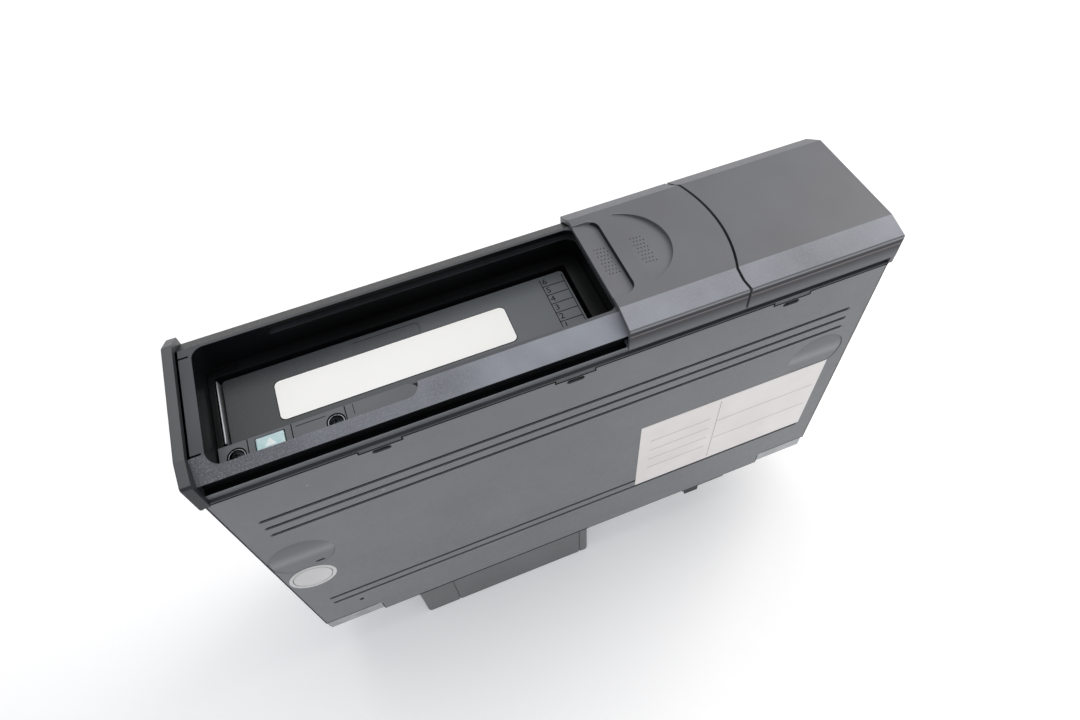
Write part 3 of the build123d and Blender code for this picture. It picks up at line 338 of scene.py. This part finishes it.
# %% [markdown]
# ## Inks
# Marks on the magazine and dark gaps are black, and so is the painted shade in grooves and
# recesses; marks on the labels are thin grey lines, and the triangle on the button is white.
# Ink is matt and not quite even.


# %% Inks
def ink(name, shade, pale):
    """A matt colour that hardly mirrors."""
    material, tree, shader, place = start_material(name, 0.6, Specular_IOR_Level=0.08)
    patchy = spread(tree, grains(tree, place, 0.7, 3.0), 0.3, 0.7)
    tree.links.new(blend_colours(tree, patchy, shade, pale), shader.inputs["Base Color"])
    return material


black_ink = ink("black_ink", "#0e0f10", "#161718")
grey_ink = ink("grey_ink", "#8d8786", "#a09a98")
white_ink = ink("white_ink", "#e8f1f1", "#f5fafa")
print("materials", len(bpy.data.materials))

# %% [markdown]
# ## Which node wears what
# A CAD node keeps its mesh. Only the material in its slots changes.

# %% Materials on the CAD nodes
node_materials = {
    case_paint: ("lower_cover", "upper_cover"),
    inner_zinc: (
        "chassis_frame", "bay_near_plate", "bay_far_plate", "bay_end_plate", "bay_floor_plate",
        "lower_deck", "clamp_deck", "deck_guide_rail", "eject_arm", "eject_arm_pin",
    ),
    bright_steel: (
        "ledge_screws", "lift_guide_posts", "guide_rods", "lead_screw", "lift_screw", "clamp_screw",
        "spindle_motor", "sled_motor", "lift_motor", "clamp_motor",
    ),
    spring_steel: ("guide_spring",),
    front_abs: ("sliding_door", "fixed_front_cover"),
    track_abs: ("front_bezel",),
    cap_abs: ("end_cap",),
    black_abs: (
        "mouth_frame", "door_leaf_1", "door_leaf_2", "rear_connector", "board_connectors",
        "eject_switch", "tray_picker", "turntable", "clamper", "rear_hook",
    ),
    ledge_abs: ("ledge_plate",),
    button_teal: ("eject_button",),
    magazine_abs: ("magazine_case",),
    tray_abs: tuple(f"tray_{number}" for number in range(1, 7)),
    shroud_abs: ("rear_shroud",),
    magazine_film: ("magazine_label",),
    label_film: ("rating_label",),
    sticker_film: ("round_sticker",),
    board_lacquer: ("main_board",),
    chip_epoxy: ("board_chips",),
    can_metal: ("board_capacitors",),
    damper_rubber: ("deck_dampers",),
    cast_metal: ("drive_base", "pickup_sled"),
    lens_plastic: ("pickup_lens",),
}
wearing = {}
for material, names in node_materials.items():
    for name in names:
        mesh = nodes[name].data
        mesh.materials.clear()
        mesh.materials.append(material)
        wearing[name] = material
print("nodes without a material:", sorted(set(nodes) - set(wearing)))

# %% [markdown]
# ## Helpers for new pieces
# A new piece is built in a bmesh, in place, then becomes an object at the origin that rides
# on a CAD body.

# %% Piece helpers
bodies = frame["record"]["behaviour"]["bodies"]
sheet_mm = 0.05  # thickness of a ring or a strip that stands for a mark
line_lift_mm = 0.03  # what a thin line or a number reaches out of its surface


def body_of(node):
    """The body that a CAD node moves with."""
    return next(name for name, members in bodies.items() if node in members)


def corners_mm(node):
    """Lowest and highest corner of a node, in millimetres."""
    low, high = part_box(node)
    return [value / MM for value in low], [value / MM for value in high]


def around(middle, half):
    """The span that reaches half to both sides of a place."""
    return middle - half, middle + half


def add_piece(name, mesh, material, body):
    """Turns a bmesh into an object at the origin, riding on a body."""
    data = bpy.data.meshes.new(name)
    mesh.to_mesh(data)
    mesh.free()
    data.materials.append(material)
    piece = bpy.data.objects.new(name, data)
    bpy.context.scene.collection.objects.link(piece)
    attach(piece, body)
    return piece


def add_block(mesh, x, y, z):
    """A block between two X, two Y and two Z places in millimetres."""
    spans = (x, y, z)
    centre = Vector([(low + high) / 2 * MM for low, high in spans])
    scale = Matrix.Diagonal([(high - low) * MM for low, high in spans] + [1.0])
    bmesh.ops.create_cube(mesh, size=1.0, matrix=Matrix.Translation(centre) @ scale)


def add_cone(mesh, centre_mm, sides, low_radius_mm, high_radius_mm, height_mm):
    """An upright cone or prism with closed ends."""
    bmesh.ops.create_cone(
        mesh, segments=sides, cap_ends=True, radius1=low_radius_mm * MM,
        radius2=high_radius_mm * MM, depth=height_mm * MM,
        matrix=Matrix.Translation(Vector(centre_mm) * MM),
    )


def add_ring(mesh, outer_mm, inner_mm):
    """A flat ring round the origin."""
    bmesh.ops.create_circle(mesh, segments=64, radius=outer_mm * MM)
    grown = bmesh.ops.extrude_edge_only(mesh, edges=mesh.edges[:])
    inner = [item for item in grown["geom"] if isinstance(item, bmesh.types.BMVert)]
    bmesh.ops.scale(mesh, verts=inner, vec=(inner_mm / outer_mm, inner_mm / outer_mm, 1.0))
    bmesh.ops.solidify(mesh, geom=mesh.faces[:], thickness=sheet_mm * MM)
    bmesh.ops.recalc_face_normals(mesh, faces=mesh.faces)


def inked(surface_z):
    """Heights of a mark that lies in a level surface and stands out of it by a hair."""
    return surface_z - sheet_mm, surface_z + 0.02


def ruled(name, lines, y, material, body):
    """Thin lines on an upright face; each is a pair of X and a pair of Z places."""
    mesh = bmesh.new()
    for x, z in lines:
        add_block(mesh, x, around(y, line_lift_mm), z)
    add_piece(name, mesh, material, body)


# %% [markdown]
# ## Rounded edges
# CAD edges are perfectly sharp, and real mouldings and bent sheets never are. A thin rounding
# catches a line of light, which is most of what makes a render look real. A node's mesh is
# loose triangles, so a copy is merged into clean faces first, then a Bevel modifier rounds
# every edge sharper than 30 degrees, and the copy stands in for the node. A second modifier
# weighs normals by the size of their faces, so large faces stay flat to the light.
# The rims of the door's two hollows are softer than its other edges, so they are rounded first.

# %% Softened copies
merge_angle = math.radians(1.0)
sharp_angle = math.radians(30)
hollow_round_mm = 0.45


def softened(node, round_mm, hollow=None):
    """Hollow names the box, in millimetres, whose edges get a rounding of their own first."""
    mesh = bmesh.new()
    mesh.from_mesh(nodes[node].data)
    bmesh.ops.remove_doubles(mesh, verts=mesh.verts, dist=1e-6)
    bmesh.ops.dissolve_limit(mesh, angle_limit=merge_angle, verts=mesh.verts, edges=mesh.edges)
    if hollow:
        chosen = []
        for edge in mesh.edges:
            middle = (edge.verts[0].co + edge.verts[1].co) / 2 / MM
            within = all(low < value < high for value, (low, high) in zip(middle, hollow))
            if within and edge.is_manifold and edge.calc_face_angle() > sharp_angle:
                chosen.append(edge)
        bmesh.ops.bevel(
            mesh, geom=chosen, offset=hollow_round_mm * MM, affect="EDGES", segments=3,
            profile=0.5, material=-1, clamp_overlap=True,
        )
    piece = add_piece(f"soft_{node}", mesh, wearing[node], body_of(node))
    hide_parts(node)
    for face in piece.data.polygons:
        face.use_smooth = True
    edge = piece.modifiers.new("rounded_edges", "BEVEL")
    edge.width = round_mm * MM
    edge.segments = 2
    edge.limit_method = "ANGLE"
    edge.angle_limit = sharp_angle
    even = piece.modifiers.new("even_normals", "WEIGHTED_NORMAL")
    even.weight = 100
    return piece


rounding_mm = {
    "lower_cover": 0.25,
    "upper_cover": 0.25,
    "front_bezel": 0.3,
    "sliding_door": 0.35,
    "fixed_front_cover": 0.35,
    "end_cap": 0.3,
    "mouth_frame": 0.3,
    "ledge_plate": 0.2,
    "magazine_case": 0.3,
    "eject_button": 0.25,
    "rear_shroud": 0.3,
    "rear_hook": 0.3,
}
door_low, door_high = corners_mm("sliding_door")
door_hollows = (  # the box round both of them, as spans of X, Y and Z
    (door_low[0] + 0.3, door_low[0] + 30.0),
    (-17.5, 19.5),
    (door_high[2] - 2.6, door_high[2] + 0.1),
)
soft = {}
for node, round_mm in rounding_mm.items():
    hollow = door_hollows if node == "sliding_door" else None
    soft[node] = softened(node, round_mm, hollow)
print("softened", sorted(soft))

# %% [markdown]
# ## A skirt with bands of light and dark
# Below its rounded edge the door turns under, so its side mirrors something dark first and the
# white wall again near the seam. A colour ramp along Z copies that: every stop is a height.


# %% Skirt material
def banded(name, top_mm, stops, grain_colour, roughness, shine):
    """Colours by height; each stop is a depth below the top in millimetres, and a hex value."""
    material, tree, shader, place = start_material(name, roughness, Specular_IOR_Level=shine)
    depth_mm = stops[-1][0]
    height = add_node(tree, "ShaderNodeSeparateXYZ", {}, {"Vector": place}).outputs["Z"]
    share = spread(tree, height, top_mm * MM, (top_mm - depth_mm) * MM)
    ramp = add_node(tree, "ShaderNodeValToRGB", {}, {"Fac": share})
    elements = ramp.color_ramp.elements
    for index, (down_mm, colour) in enumerate(stops):
        element = elements[index] if index < 2 else elements.new(down_mm / depth_mm)
        element.position = down_mm / depth_mm
        element.color = linear(colour)
    grain = grains(tree, place, 0.6)
    glints = spread(tree, grain, 0.45, 0.8, 0.0, 0.2)
    coloured = blend_colours(tree, glints, ramp.outputs["Color"], grain_colour)
    tree.links.new(coloured, shader.inputs["Base Color"])
    raise_surface(tree, shader, grain, 0.01)
    return material


door = soft["sliding_door"]
skirt_y = -29.0  # only the skirts lie beyond this place
skirt_top = max(
    door.data.vertices[corner].co.z / MM
    for face in door.data.polygons if face.normal.y < -0.95 and face.center.y < skirt_y * MM
    for corner in face.vertices
)
skirt_stops = (
    (0.0, "#96979b"), (0.5, "#8c8d92"), (1.1, "#222327"), (2.4, "#1e1f22"),
    (2.9, "#7c7478"), (3.4, "#3c383a"), (4.4, "#3a3a3d"), (8.4, "#6c6d71"),
)
skirt_abs = banded("anthracite_abs_skirt", skirt_top, skirt_stops, "#5a5b5f", 0.36, 0.2)
print("skirt top", round(skirt_top, 2))

# %% [markdown]
# ## Faces that look different
# One moulding shows several faces: coarse grain and a painted highlight on the slopes, polished
# black walls in the opening that are partly painted shade, polished black painted shade in the
# runner grooves, and a band above the seam painted paler as light. Each of them is a further
# material on the same mesh, picked by where a face lies and by the way that it looks.


# %% Further materials
def dress(piece, material, wanted):
    """Gives a further material to the faces for which wanted(centre in mm, normal) is true."""
    piece.data.materials.append(material)
    index = len(piece.data.materials) - 1
    for face in piece.data.polygons:
        if wanted(face.center / MM, face.normal):
            face.material_index = index


seam_z = 165.0  # where the steel covers meet the moulded front
face_y = 29.8  # half the thickness over the steel covers
groove_z = seam_z + 3.3  # floor of the runner grooves
groove_y = 26.0  # half width of the rails at the runner grooves
groove_margin = 0.5
far_y = 18.0  # the front core is black beyond this place
mouth_low, mouth_high = corners_mm("mouth_frame")
bezel = soft["front_bezel"]
# painted highlight on the rail's slopes
dress(bezel, lit_rail_slope_abs, lambda at, way: way.z > 0.6 and way.y < -0.2)
# painted light on the band above the seam
dress(bezel, lit_band_abs, lambda at, way: (
    way.y < -0.5 and at.y < -groove_y - 0.1 and seam_z < at.z < groove_z
))
dress(bezel, black_abs, lambda at, way: (
    # the walls of the opening, partly black plastic and partly painted shade
    mouth_low[0] < at.x < mouth_high[0] and abs(at.y) < groove_y - groove_margin
    and abs(way.z) < 0.5
    # painted shade on the upright walls of the grooves
    or abs(way.y) > 0.9 and abs(abs(at.y) - groove_y) < groove_margin and at.z > groove_z
    # painted shade on the floor of the near groove
    or way.z > 0.9 and at.y < -groove_y - 0.1 and abs(at.z - groove_z) < 0.1
    or at.y > far_y
))
for node in ("sliding_door", "fixed_front_cover"):
    # the slopes get the painted highlight, the skirts the painted reflection
    dress(soft[node], lit_slope_abs, lambda at, way: way.z > 0.85 and way.y < -0.2)
    dress(soft[node], skirt_abs, lambda at, way: way.y < -0.95 and at.y < skirt_y)
# painted shade on the wall at the deep end of the door's finger step
dress(door, hollow_shade_abs, lambda at, way: (
    way.x < -0.5 and door_low[0] + 1.0 < at.x < door_low[0] + 12.0
    and at.z > skirt_top and abs(at.y) < 22
))
# painted shade on the cap's near faces and on its faces towards the core
dress(soft["end_cap"], cap_shade_abs, lambda at, way: way.y < -0.5 or way.x > 0.7)
# painted shade on the walls of the pressed lines, just behind the near face, apart from those that
# look up
cover = soft["lower_cover"]
pressed_from, pressed_to, pressed_end_x = -face_y + 0.03, -face_y + 0.9, 115
dress(cover, black_abs, lambda at, way: (
    pressed_from < at.y < pressed_to and abs(at.x) < pressed_end_x
    and way.z < 0.2 and way.y > -0.98
))
# painted shade under a dish's upper rim and a painted highlight where its floor comes up
dish_radius = 12.0
dish_light_stops = (
    (0.0, "#3f4143"), (1.0, "#5a5c5f"), (8.0, "#696b6e"),
    (12.5, "#8b8d90"), (16.0, "#707275"), (24.0, "#6f7174"),
)
for number, dish_x, dish_z in ((1, -109.3, seam_z - 55.2), (3, 104.9, seam_z - 46.6)):
    dish_shading = banded(
        f"grey_painted_steel_dish_shading_{number}", dish_z + dish_radius, dish_light_stops, "#76787b", 0.4, 0.5,
    )
    dress(cover, dish_shading, lambda at, way: (
        way.y < -0.98 and way.z > 0.01
        and math.hypot(at.x - dish_x, at.z - dish_z) < dish_radius - 0.1
    ))

# %% [markdown]
# ## Ladder and numbers on the magazine
# Beside the label, five lines part six fields, one for each tray, numbered from the near edge.
# Lines and numbers are engraved and filled with black, so they are thin sheets in the surface.

# %% Ladder
magazine_low, magazine_high = corners_mm("magazine_case")
magazine_top = magazine_high[2]
tray_pitch = 4.25
tray_1_low, tray_1_high = corners_mm("tray_1")
first_slot_y = (tray_1_low[1] + tray_1_high[1]) / 2
ladder_x = (magazine_high[0] - 9.2, magazine_high[0] - 0.8)
ladder_y = (magazine_low[1] + 1.0, magazine_high[1] - 1.5)
line_half = 0.3 / 2
mesh = bmesh.new()
for number in range(1, 6):
    line_y = first_slot_y + (number - 0.5) * tray_pitch
    add_block(mesh, ladder_x, around(line_y, line_half), inked(magazine_top))
for line_x in ladder_x:
    add_block(mesh, around(line_x, line_half), ladder_y, inked(magazine_top))
add_piece("magazine_ladder", mesh, black_ink, "magazine")

# %% Numbers
digit_mm = 2.5
digit_share = 0.7  # a digit's height as a share of the size that the font asks for
digit_x = ladder_x[0] + 1.5


def add_digit(name, digit, place_mm, material, body):
    """A flat number that lies on a level surface and reads from the near side."""
    curve = bpy.data.curves.new(name, "FONT")
    curve.body = digit
    curve.size = digit_mm * MM / digit_share
    curve.extrude = line_lift_mm * MM
    curve.resolution_u = 3
    curve.align_x = "CENTER"
    curve.align_y = "CENTER"
    lettering = bpy.data.objects.new(name, curve)
    data = bpy.data.meshes.new_from_object(lettering)
    mesh = bmesh.new()
    mesh.from_mesh(data)
    bmesh.ops.remove_doubles(mesh, verts=mesh.verts, dist=1e-7)
    bmesh.ops.translate(mesh, verts=mesh.verts, vec=Vector(place_mm) * MM)
    bmesh.ops.recalc_face_normals(mesh, faces=mesh.faces)
    bpy.data.objects.remove(lettering)
    add_piece(name, mesh, material, body)


for number in range(1, 7):
    digit_place = (digit_x, first_slot_y + (number - 1) * tray_pitch, magazine_top)
    add_digit(
        f"slot_number_{number}", str(number), digit_place, black_ink,
        "magazine",
    )

# %% [markdown]
# ## Triangle on the eject button
# A white triangle points to the magazine. It is printed, so it is a thin prism of three sides.

# %% Triangle
triangle_radius, triangle_thickness, towards_viewer = 2.0, 0.06, 0.4
button_low, button_high = corners_mm("eject_button")
triangle_place = (
    (button_low[0] + button_high[0]) / 2,
    (button_low[1] + button_high[1]) / 2 - towards_viewer,
    button_high[2],
)
mesh = bmesh.new()
add_cone(mesh, triangle_place, 3, triangle_radius, triangle_radius, triangle_thickness)
add_piece("button_triangle", mesh, white_ink, "eject_button")

# %% [markdown]
# ## A dark line round the magazine's label
# The label lies in a shallow recess, whose edge shows as a fine dark line. A copy of the label,
# a quarter of a millimetre larger on every side and a little lower, gives that line.

# %% Label outline
outline_mm, outline_drop_mm = 0.25, 0.05
label_low, label_high = corners_mm("magazine_label")
label_middle = Vector([(low + high) / 2 for low, high in zip(label_low, label_high)]) * MM
growth = [
    (high - low + 2 * outline_mm) / (high - low)
    for low, high in zip(label_low[:2], label_high[:2])
]
mesh = bmesh.new()
mesh.from_mesh(nodes["magazine_label"].data)
bmesh.ops.translate(mesh, verts=mesh.verts, vec=-label_middle)
bmesh.ops.scale(mesh, verts=mesh.verts, vec=(*growth, 1.0))
lowered = label_middle - Vector((0, 0, outline_drop_mm * MM))
bmesh.ops.translate(mesh, verts=mesh.verts, vec=lowered)
add_piece("label_outline", mesh, black_ink, "magazine")

# %% [markdown]
# ## Finger dots on the door
# Both hollows of the door have a small field of pin-sized dots, so a finger doesn't slip.
# Each dot is a low cone of eight faces, and a loop sets them in rows that lean.

# %% Dots
columns, rows = 4, 8
column_pitch, row_pitch, row_lean = 1.25, 1.7, 0.6
dot_sides, low_radius, high_radius, dot_height, dot_lift = 8, 0.24, 0.16, 0.14, 0.05
# first dot, then the left end, length and two depths of a floor that falls from left to right
step = (22.4, 5.9, door_low[0], 8.7, 0.5, 1.7)
moon = (35.8, 5.4, door_low[0] + 15.0, 13.7, 0.4, 1.6)
mesh = bmesh.new()
for field_x, field_y, left, length, shallow, deep in (step, moon):
    for column in range(columns):
        for row in range(rows):
            dot_x = field_x + column * column_pitch + (row % 2) * row_lean
            dot_floor = door_high[2] - shallow - (deep - shallow) * (dot_x - left) / length
            dot = (dot_x, field_y - row * row_pitch, dot_floor + dot_lift)
            add_cone(mesh, dot, dot_sides, low_radius, high_radius, dot_height)
add_piece("door_dots", mesh, black_abs, "sliding_door")

# %% [markdown]
# ## Ledge: lines between the fields
# The ledge beside the mouth is parted in fields by moulded grooves, whose shade is painted as thin
# black lines.

# %% Ledge lines
ledge_low, ledge_high = corners_mm("ledge_plate")
ledge_top = ledge_high[2]
ledge_y = (ledge_low[1] + 0.3, ledge_high[1] - 0.2)
ledge_line_half = 0.17
# black strips paint the shade in the ledge's grooves
mesh = bmesh.new()
for line_x in (-105.0, -91.0, -73.6):
    add_block(mesh, around(line_x, ledge_line_half), ledge_y, inked(ledge_top))
# a short line to the left of the right screw, and one past the last long line
add_block(mesh, (-89.7, -79.8), (-14.6, -14.35), inked(ledge_top))
add_block(mesh, (-71.0, -70.8), (-17.4, -13.4), inked(ledge_top))
add_piece("ledge_groove_shade", mesh, black_ink, "case")

# %% [markdown]
# ## Cross-recessed screws
# Two screws sit in wells of the ledge. The head is a low dome with a cross pressed into it.
# A sphere squashed flat gives the dome, and two thin bars in dark ink paint the shade in the
# recess.
# A fine dark ring paints the shade at the rim of each well.

# %% Screws
head_radius, head_flatness = 2.5, 0.28
bar_halves = (1.3, 0.3)  # half the length and half the width of a bar of the cross
well_shade_outer, well_shade_inner = 3.15, 2.75
screw_top = corners_mm("ledge_screws")[1][2]
cross_z = (screw_top + 0.3, screw_top + 0.75)
for index, (screw_x, screw_y) in enumerate(((-108.8, -18.0), (-77.1, -17.8)), start=1):
    mesh = bmesh.new()
    bmesh.ops.create_uvsphere(mesh, u_segments=24, v_segments=12, radius=head_radius * MM)
    bmesh.ops.scale(mesh, verts=mesh.verts, vec=(1.0, 1.0, head_flatness))
    head_place = Vector((screw_x, screw_y, screw_top)) * MM
    bmesh.ops.translate(mesh, verts=mesh.verts, vec=head_place)
    for face in mesh.faces:
        face.smooth = True
    add_piece(f"screw_head_{index}", mesh, dark_screw, "case")
    # painted shade in the cross recess
    mesh = bmesh.new()
    for half_x, half_y in (bar_halves, bar_halves[::-1]):
        add_block(mesh, around(screw_x, half_x), around(screw_y, half_y), cross_z)
    add_piece(f"screw_cross_shade_{index}", mesh, black_ink, "case")
    # painted shade at the rim of the well
    mesh = bmesh.new()
    add_ring(mesh, well_shade_outer, well_shade_inner)
    well_shade_place = Vector((screw_x, screw_y, ledge_top + 0.01)) * MM
    bmesh.ops.translate(mesh, verts=mesh.verts, vec=well_shade_place)
    add_piece(f"screw_well_shade_{index}", mesh, black_ink, "case")

# %% [markdown]
# ## Rulings on the labels
# The rating label has ruled fields on both sides of a divider, and the sticker a thin ring.

# %% Rulings
margin, rule, rule_inset, divider_share = 2.0, 0.2, 3, 0.42
ring_outer, ring_inner = 7.6, 7.35
rating_low, rating_high = corners_mm("rating_label")
left, right = rating_low[0] + margin, rating_high[0] - margin
bottom, top = rating_low[2] + margin, rating_high[2] - margin
divider = left + divider_share * (right - left)
lines = [((divider, divider + rule), (bottom, top))]
for drop in (12, 20, 28, 36):
    field = (left + rule_inset, divider - rule_inset)
    lines.append((field, (top - drop, top - drop + rule)))
for drop in (16, 31):
    lines.append(((divider, right), (top - drop, top - drop + rule)))
ruled("rating_label_rules", lines, rating_low[1], grey_ink, "case")

sticker_low, sticker_high = corners_mm("round_sticker")
sticker_middle = Vector((
    (sticker_low[0] + sticker_high[0]) / 2,
    sticker_low[1],
    (sticker_low[2] + sticker_high[2]) / 2,
))
mesh = bmesh.new()
add_ring(mesh, ring_outer, ring_inner)
upright = Matrix.Translation(sticker_middle * MM) @ Matrix.Rotation(math.radians(90), 4, "X")
bmesh.ops.transform(mesh, verts=mesh.verts, matrix=upright)
add_piece("sticker_ring", mesh, grey_ink, "case")

# %% [markdown]
# ## Seams of the case
# Where two sheets meet there is a dark gap, thinner than the CAD model can hold. Thin dark
# strips on the near face draw it: along the moulded front with a step at every snap tab, along
# both ends, round the cut-back corners and where the shroud begins.

# %% Seam strips
seam_half = 0.26
seam_inset = 0.4
side_x = 121.8  # half the length over the steel covers
rear_z = 29.0  # where the covers end and the shroud begins
tab_places = (-66.5, 0.4, 82.5)
tab_half, tab_drop = 7.2, 1.5
strips = []
seam_ends = [-side_x + seam_inset]
for tab_x in tab_places:
    seam_ends += around(tab_x, tab_half)
seam_ends.append(side_x - seam_inset)
for start, end in zip(seam_ends[::2], seam_ends[1::2]):
    strips.append(((start, end), around(seam_z, seam_half)))
for tab_x in tab_places:
    low_z = seam_z - tab_drop
    strips.append((around(tab_x, tab_half), around(low_z, seam_half)))
    for edge_x in around(tab_x, tab_half):
        strips.append((around(edge_x, seam_half), (low_z - seam_half, seam_z + seam_half)))

# at each rear corner: along the cut-back edge, up its inner end, and up the case's end
notch_x, notch_z = side_x - 25.8, rear_z + 9.0
notch_corner = 1.6  # room for the corner's rounding
corner_strips = (
    ((notch_x + notch_corner, side_x - 0.5), (notch_z - 0.1, notch_z + 0.35)),
    ((notch_x - 0.25, notch_x + 0.1), (rear_z + 0.4, notch_z - notch_corner)),
    ((side_x - 0.95, side_x - 0.6), (notch_z, seam_z)),
)
for side in (-1, 1):
    for (inner_x, outer_x), heights in corner_strips:
        strips.append((sorted((side * inner_x, side * outer_x)), heights))
shroud_low, shroud_high = corners_mm("rear_shroud")
strips.append(((shroud_low[0] + 0.3, shroud_high[0] - 0.3), (rear_z, rear_z + 0.9)))
ruled("case_seams", strips, -face_y, black_ink, "case")

# %% [markdown]
# ## Joint beside the end cap
# The cap overlaps the moulded core and leaves a dark joint that climbs over the rail.
# A list of points gives the section of the rail, and every pair of points one facet of the strip.

# %% Cap joint
cap_x = -119.5
joint_x = (cap_x - 0.05, cap_x + 0.75)
rail_section = ((-26.05, 174.4), (-20.9, 178.72), (21.4, 178.72), (26.0, 174.3))  # Y and Z
mesh = bmesh.new()
for near, far in zip(rail_section, rail_section[1:]):
    left, right = joint_x
    corners = ((left, *near), (right, *near), (right, *far), (left, *far))
    mesh.faces.new([mesh.verts.new(Vector(corner) * MM) for corner in corners])
bmesh.ops.solidify(mesh, geom=mesh.faces[:], thickness=sheet_mm * MM)
bmesh.ops.recalc_face_normals(mesh, faces=mesh.faces)
add_piece("cap_joint", mesh, black_ink, "case")

# %% [markdown]
# ## Shadow in the pressed lines
# A pressed line is dark in its upper half, where no light reaches, and pale in its lower half.
# A black strip on the upper half of each groove's floor makes the lines as crisp as real ones.

# %% Pressed lines
groove_inset = 9.3
line_heights = [seam_z - drop for drop in (20.75, 26.35, 31.85)]
line_heights += [rear_z + rise for rise in (28.2, 33.9)]
line_end = side_x - groove_inset - 0.6
floor_y = -face_y + 0.35
below, above = 0.5, 0.78  # what a strip reaches below and above the height of its line
shadows = [((-line_end, line_end), (height - below, height + above)) for height in line_heights]
ruled("pressed_line_shadows", shadows, floor_y, black_ink, "case")

# %% [markdown]
# ## Lip of the rear hook
# The hook's bar and its short tab reach forward to the near face, so they show below the case.

# %% Hook lip
lip_height, tab_depth = 2.0, 6.5  # both from the rear edge of the covers
hook_low, hook_high = corners_mm("rear_hook")
lip_x, tab_x = (hook_low[0], hook_high[0]), (hook_low[0] + 2.0, hook_low[0] + 9.0)
lip_y, tab_y = (-face_y + 0.4, hook_low[1]), (-face_y + 0.5, hook_low[1])
mesh = bmesh.new()
add_block(mesh, lip_x, lip_y, (rear_z - lip_height, rear_z))
add_block(mesh, tab_x, tab_y, (rear_z - tab_depth, rear_z - lip_height))
add_piece("hook_lip", mesh, black_abs, "case")

# %% [markdown]
# ## Floor, light and camera
# The changer was photographed on a white table under wide, soft light. The floor is pale and
# is lifted to white for the camera and for mirror images only, so it keeps the shadow. Large
# lamps keep the light soft and plain. The camera stands where the photographer's lens was.

# %% Floor
floor_half_m, floor_glow = 6.0, 0.27
floor_mesh = bmesh.new()
bmesh.ops.create_grid(floor_mesh, x_segments=1, y_segments=1, size=floor_half_m)
floor_data = bpy.data.meshes.new("floor")
floor_mesh.to_mesh(floor_data)
floor_mesh.free()
floor = bpy.data.objects.new("floor", floor_data)
bpy.context.scene.collection.objects.link(floor)
white_table, tree, shader, place = start_material("white_table", 0.6)
clouds = spread(tree, grains(tree, place, 400.0, 1.0), 0.3, 0.7)
tree.links.new(blend_colours(tree, clouds, "#eeedec", "#f2f1f0"), shader.inputs["Base Color"])
rays = add_node(tree, "ShaderNodeLightPath")
either = {0: rays.outputs["Is Camera Ray"], 1: rays.outputs["Is Glossy Ray"]}
seen = add_node(tree, "ShaderNodeMath", {"operation": "MAXIMUM"}, either)
times_glow = {"operation": "MULTIPLY", 1: floor_glow}
lifted = add_node(tree, "ShaderNodeMath", times_glow, {0: seen.outputs["Value"]})
shader.inputs["Emission Color"].default_value = linear("#fbfcff")
tree.links.new(lifted.outputs["Value"], shader.inputs["Emission Strength"])
floor_data.materials.append(white_table)

# %% World and lamps
world = bpy.data.worlds.new("studio")
bpy.context.scene.world = world
world.use_nodes = True
background = world.node_tree.nodes["Background"]
background.inputs["Color"].default_value = linear("#f4f7fb")
# the lens sees a white wall; the light that falls on the part is half as strong
world_rays = add_node(world.node_tree, "ShaderNodeLightPath")
half_and_half = {"operation": "MULTIPLY_ADD", 1: 0.5, 2: 0.5}
wall = add_node(
    world.node_tree, "ShaderNodeMath", half_and_half, {0: world_rays.outputs["Is Camera Ray"]},
)
world.node_tree.links.new(wall.outputs["Value"], background.inputs["Strength"])


def softbox(name, place_m, size_m, watts, colour):
    """A rectangular lamp at a place in metres, turned to the middle of the part."""
    lamp = bpy.data.lights.new(name, "AREA")
    lamp.shape = "RECTANGLE"
    lamp.size, lamp.size_y = size_m
    lamp.energy = watts
    lamp.color = linear(colour)[:3]
    stand = bpy.data.objects.new(name, lamp)
    stand.location = place_m
    aim = Vector((0, 0, 0.1)) - Vector(place_m)
    stand.rotation_euler = aim.to_track_quat("-Z", "Y").to_euler()
    bpy.context.scene.collection.objects.link(stand)


softbox("window", (1.7, 0.5, 1.3), (1.4, 1.2), 18, "#fffaf4")
softbox("ceiling", (0.3, 0.7, 2.1), (2.4, 1.6), 18, "#ffffff")
softbox("near_fill", (0.9, -1.8, 0.5), (1.6, 1.0), 7.2, "#f4f8ff")

# %% Camera
sensor_mm, lens_mm = 36.0, 24.533
camera_place_mm = (-49.52, -154.97, 367.43)
camera_data = bpy.data.cameras.new("camera")
camera_data.sensor_width = sensor_mm
camera_data.lens = lens_mm
camera = bpy.data.objects.new("camera", camera_data)
bpy.context.scene.collection.objects.link(camera)
right_way = Vector((0.930668, -0.362048, -0.052710)).normalized()
ahead = Vector((0.166914, 0.548360, -0.819415)).normalized()
up_way = right_way.cross(ahead)
turn = Matrix((right_way, up_way, -ahead)).transposed().to_4x4()
camera.matrix_world = Matrix.Translation(Vector(camera_place_mm) * MM) @ turn
bpy.context.scene.camera = camera
bpy.context.scene.view_settings.view_transform = "Standard"
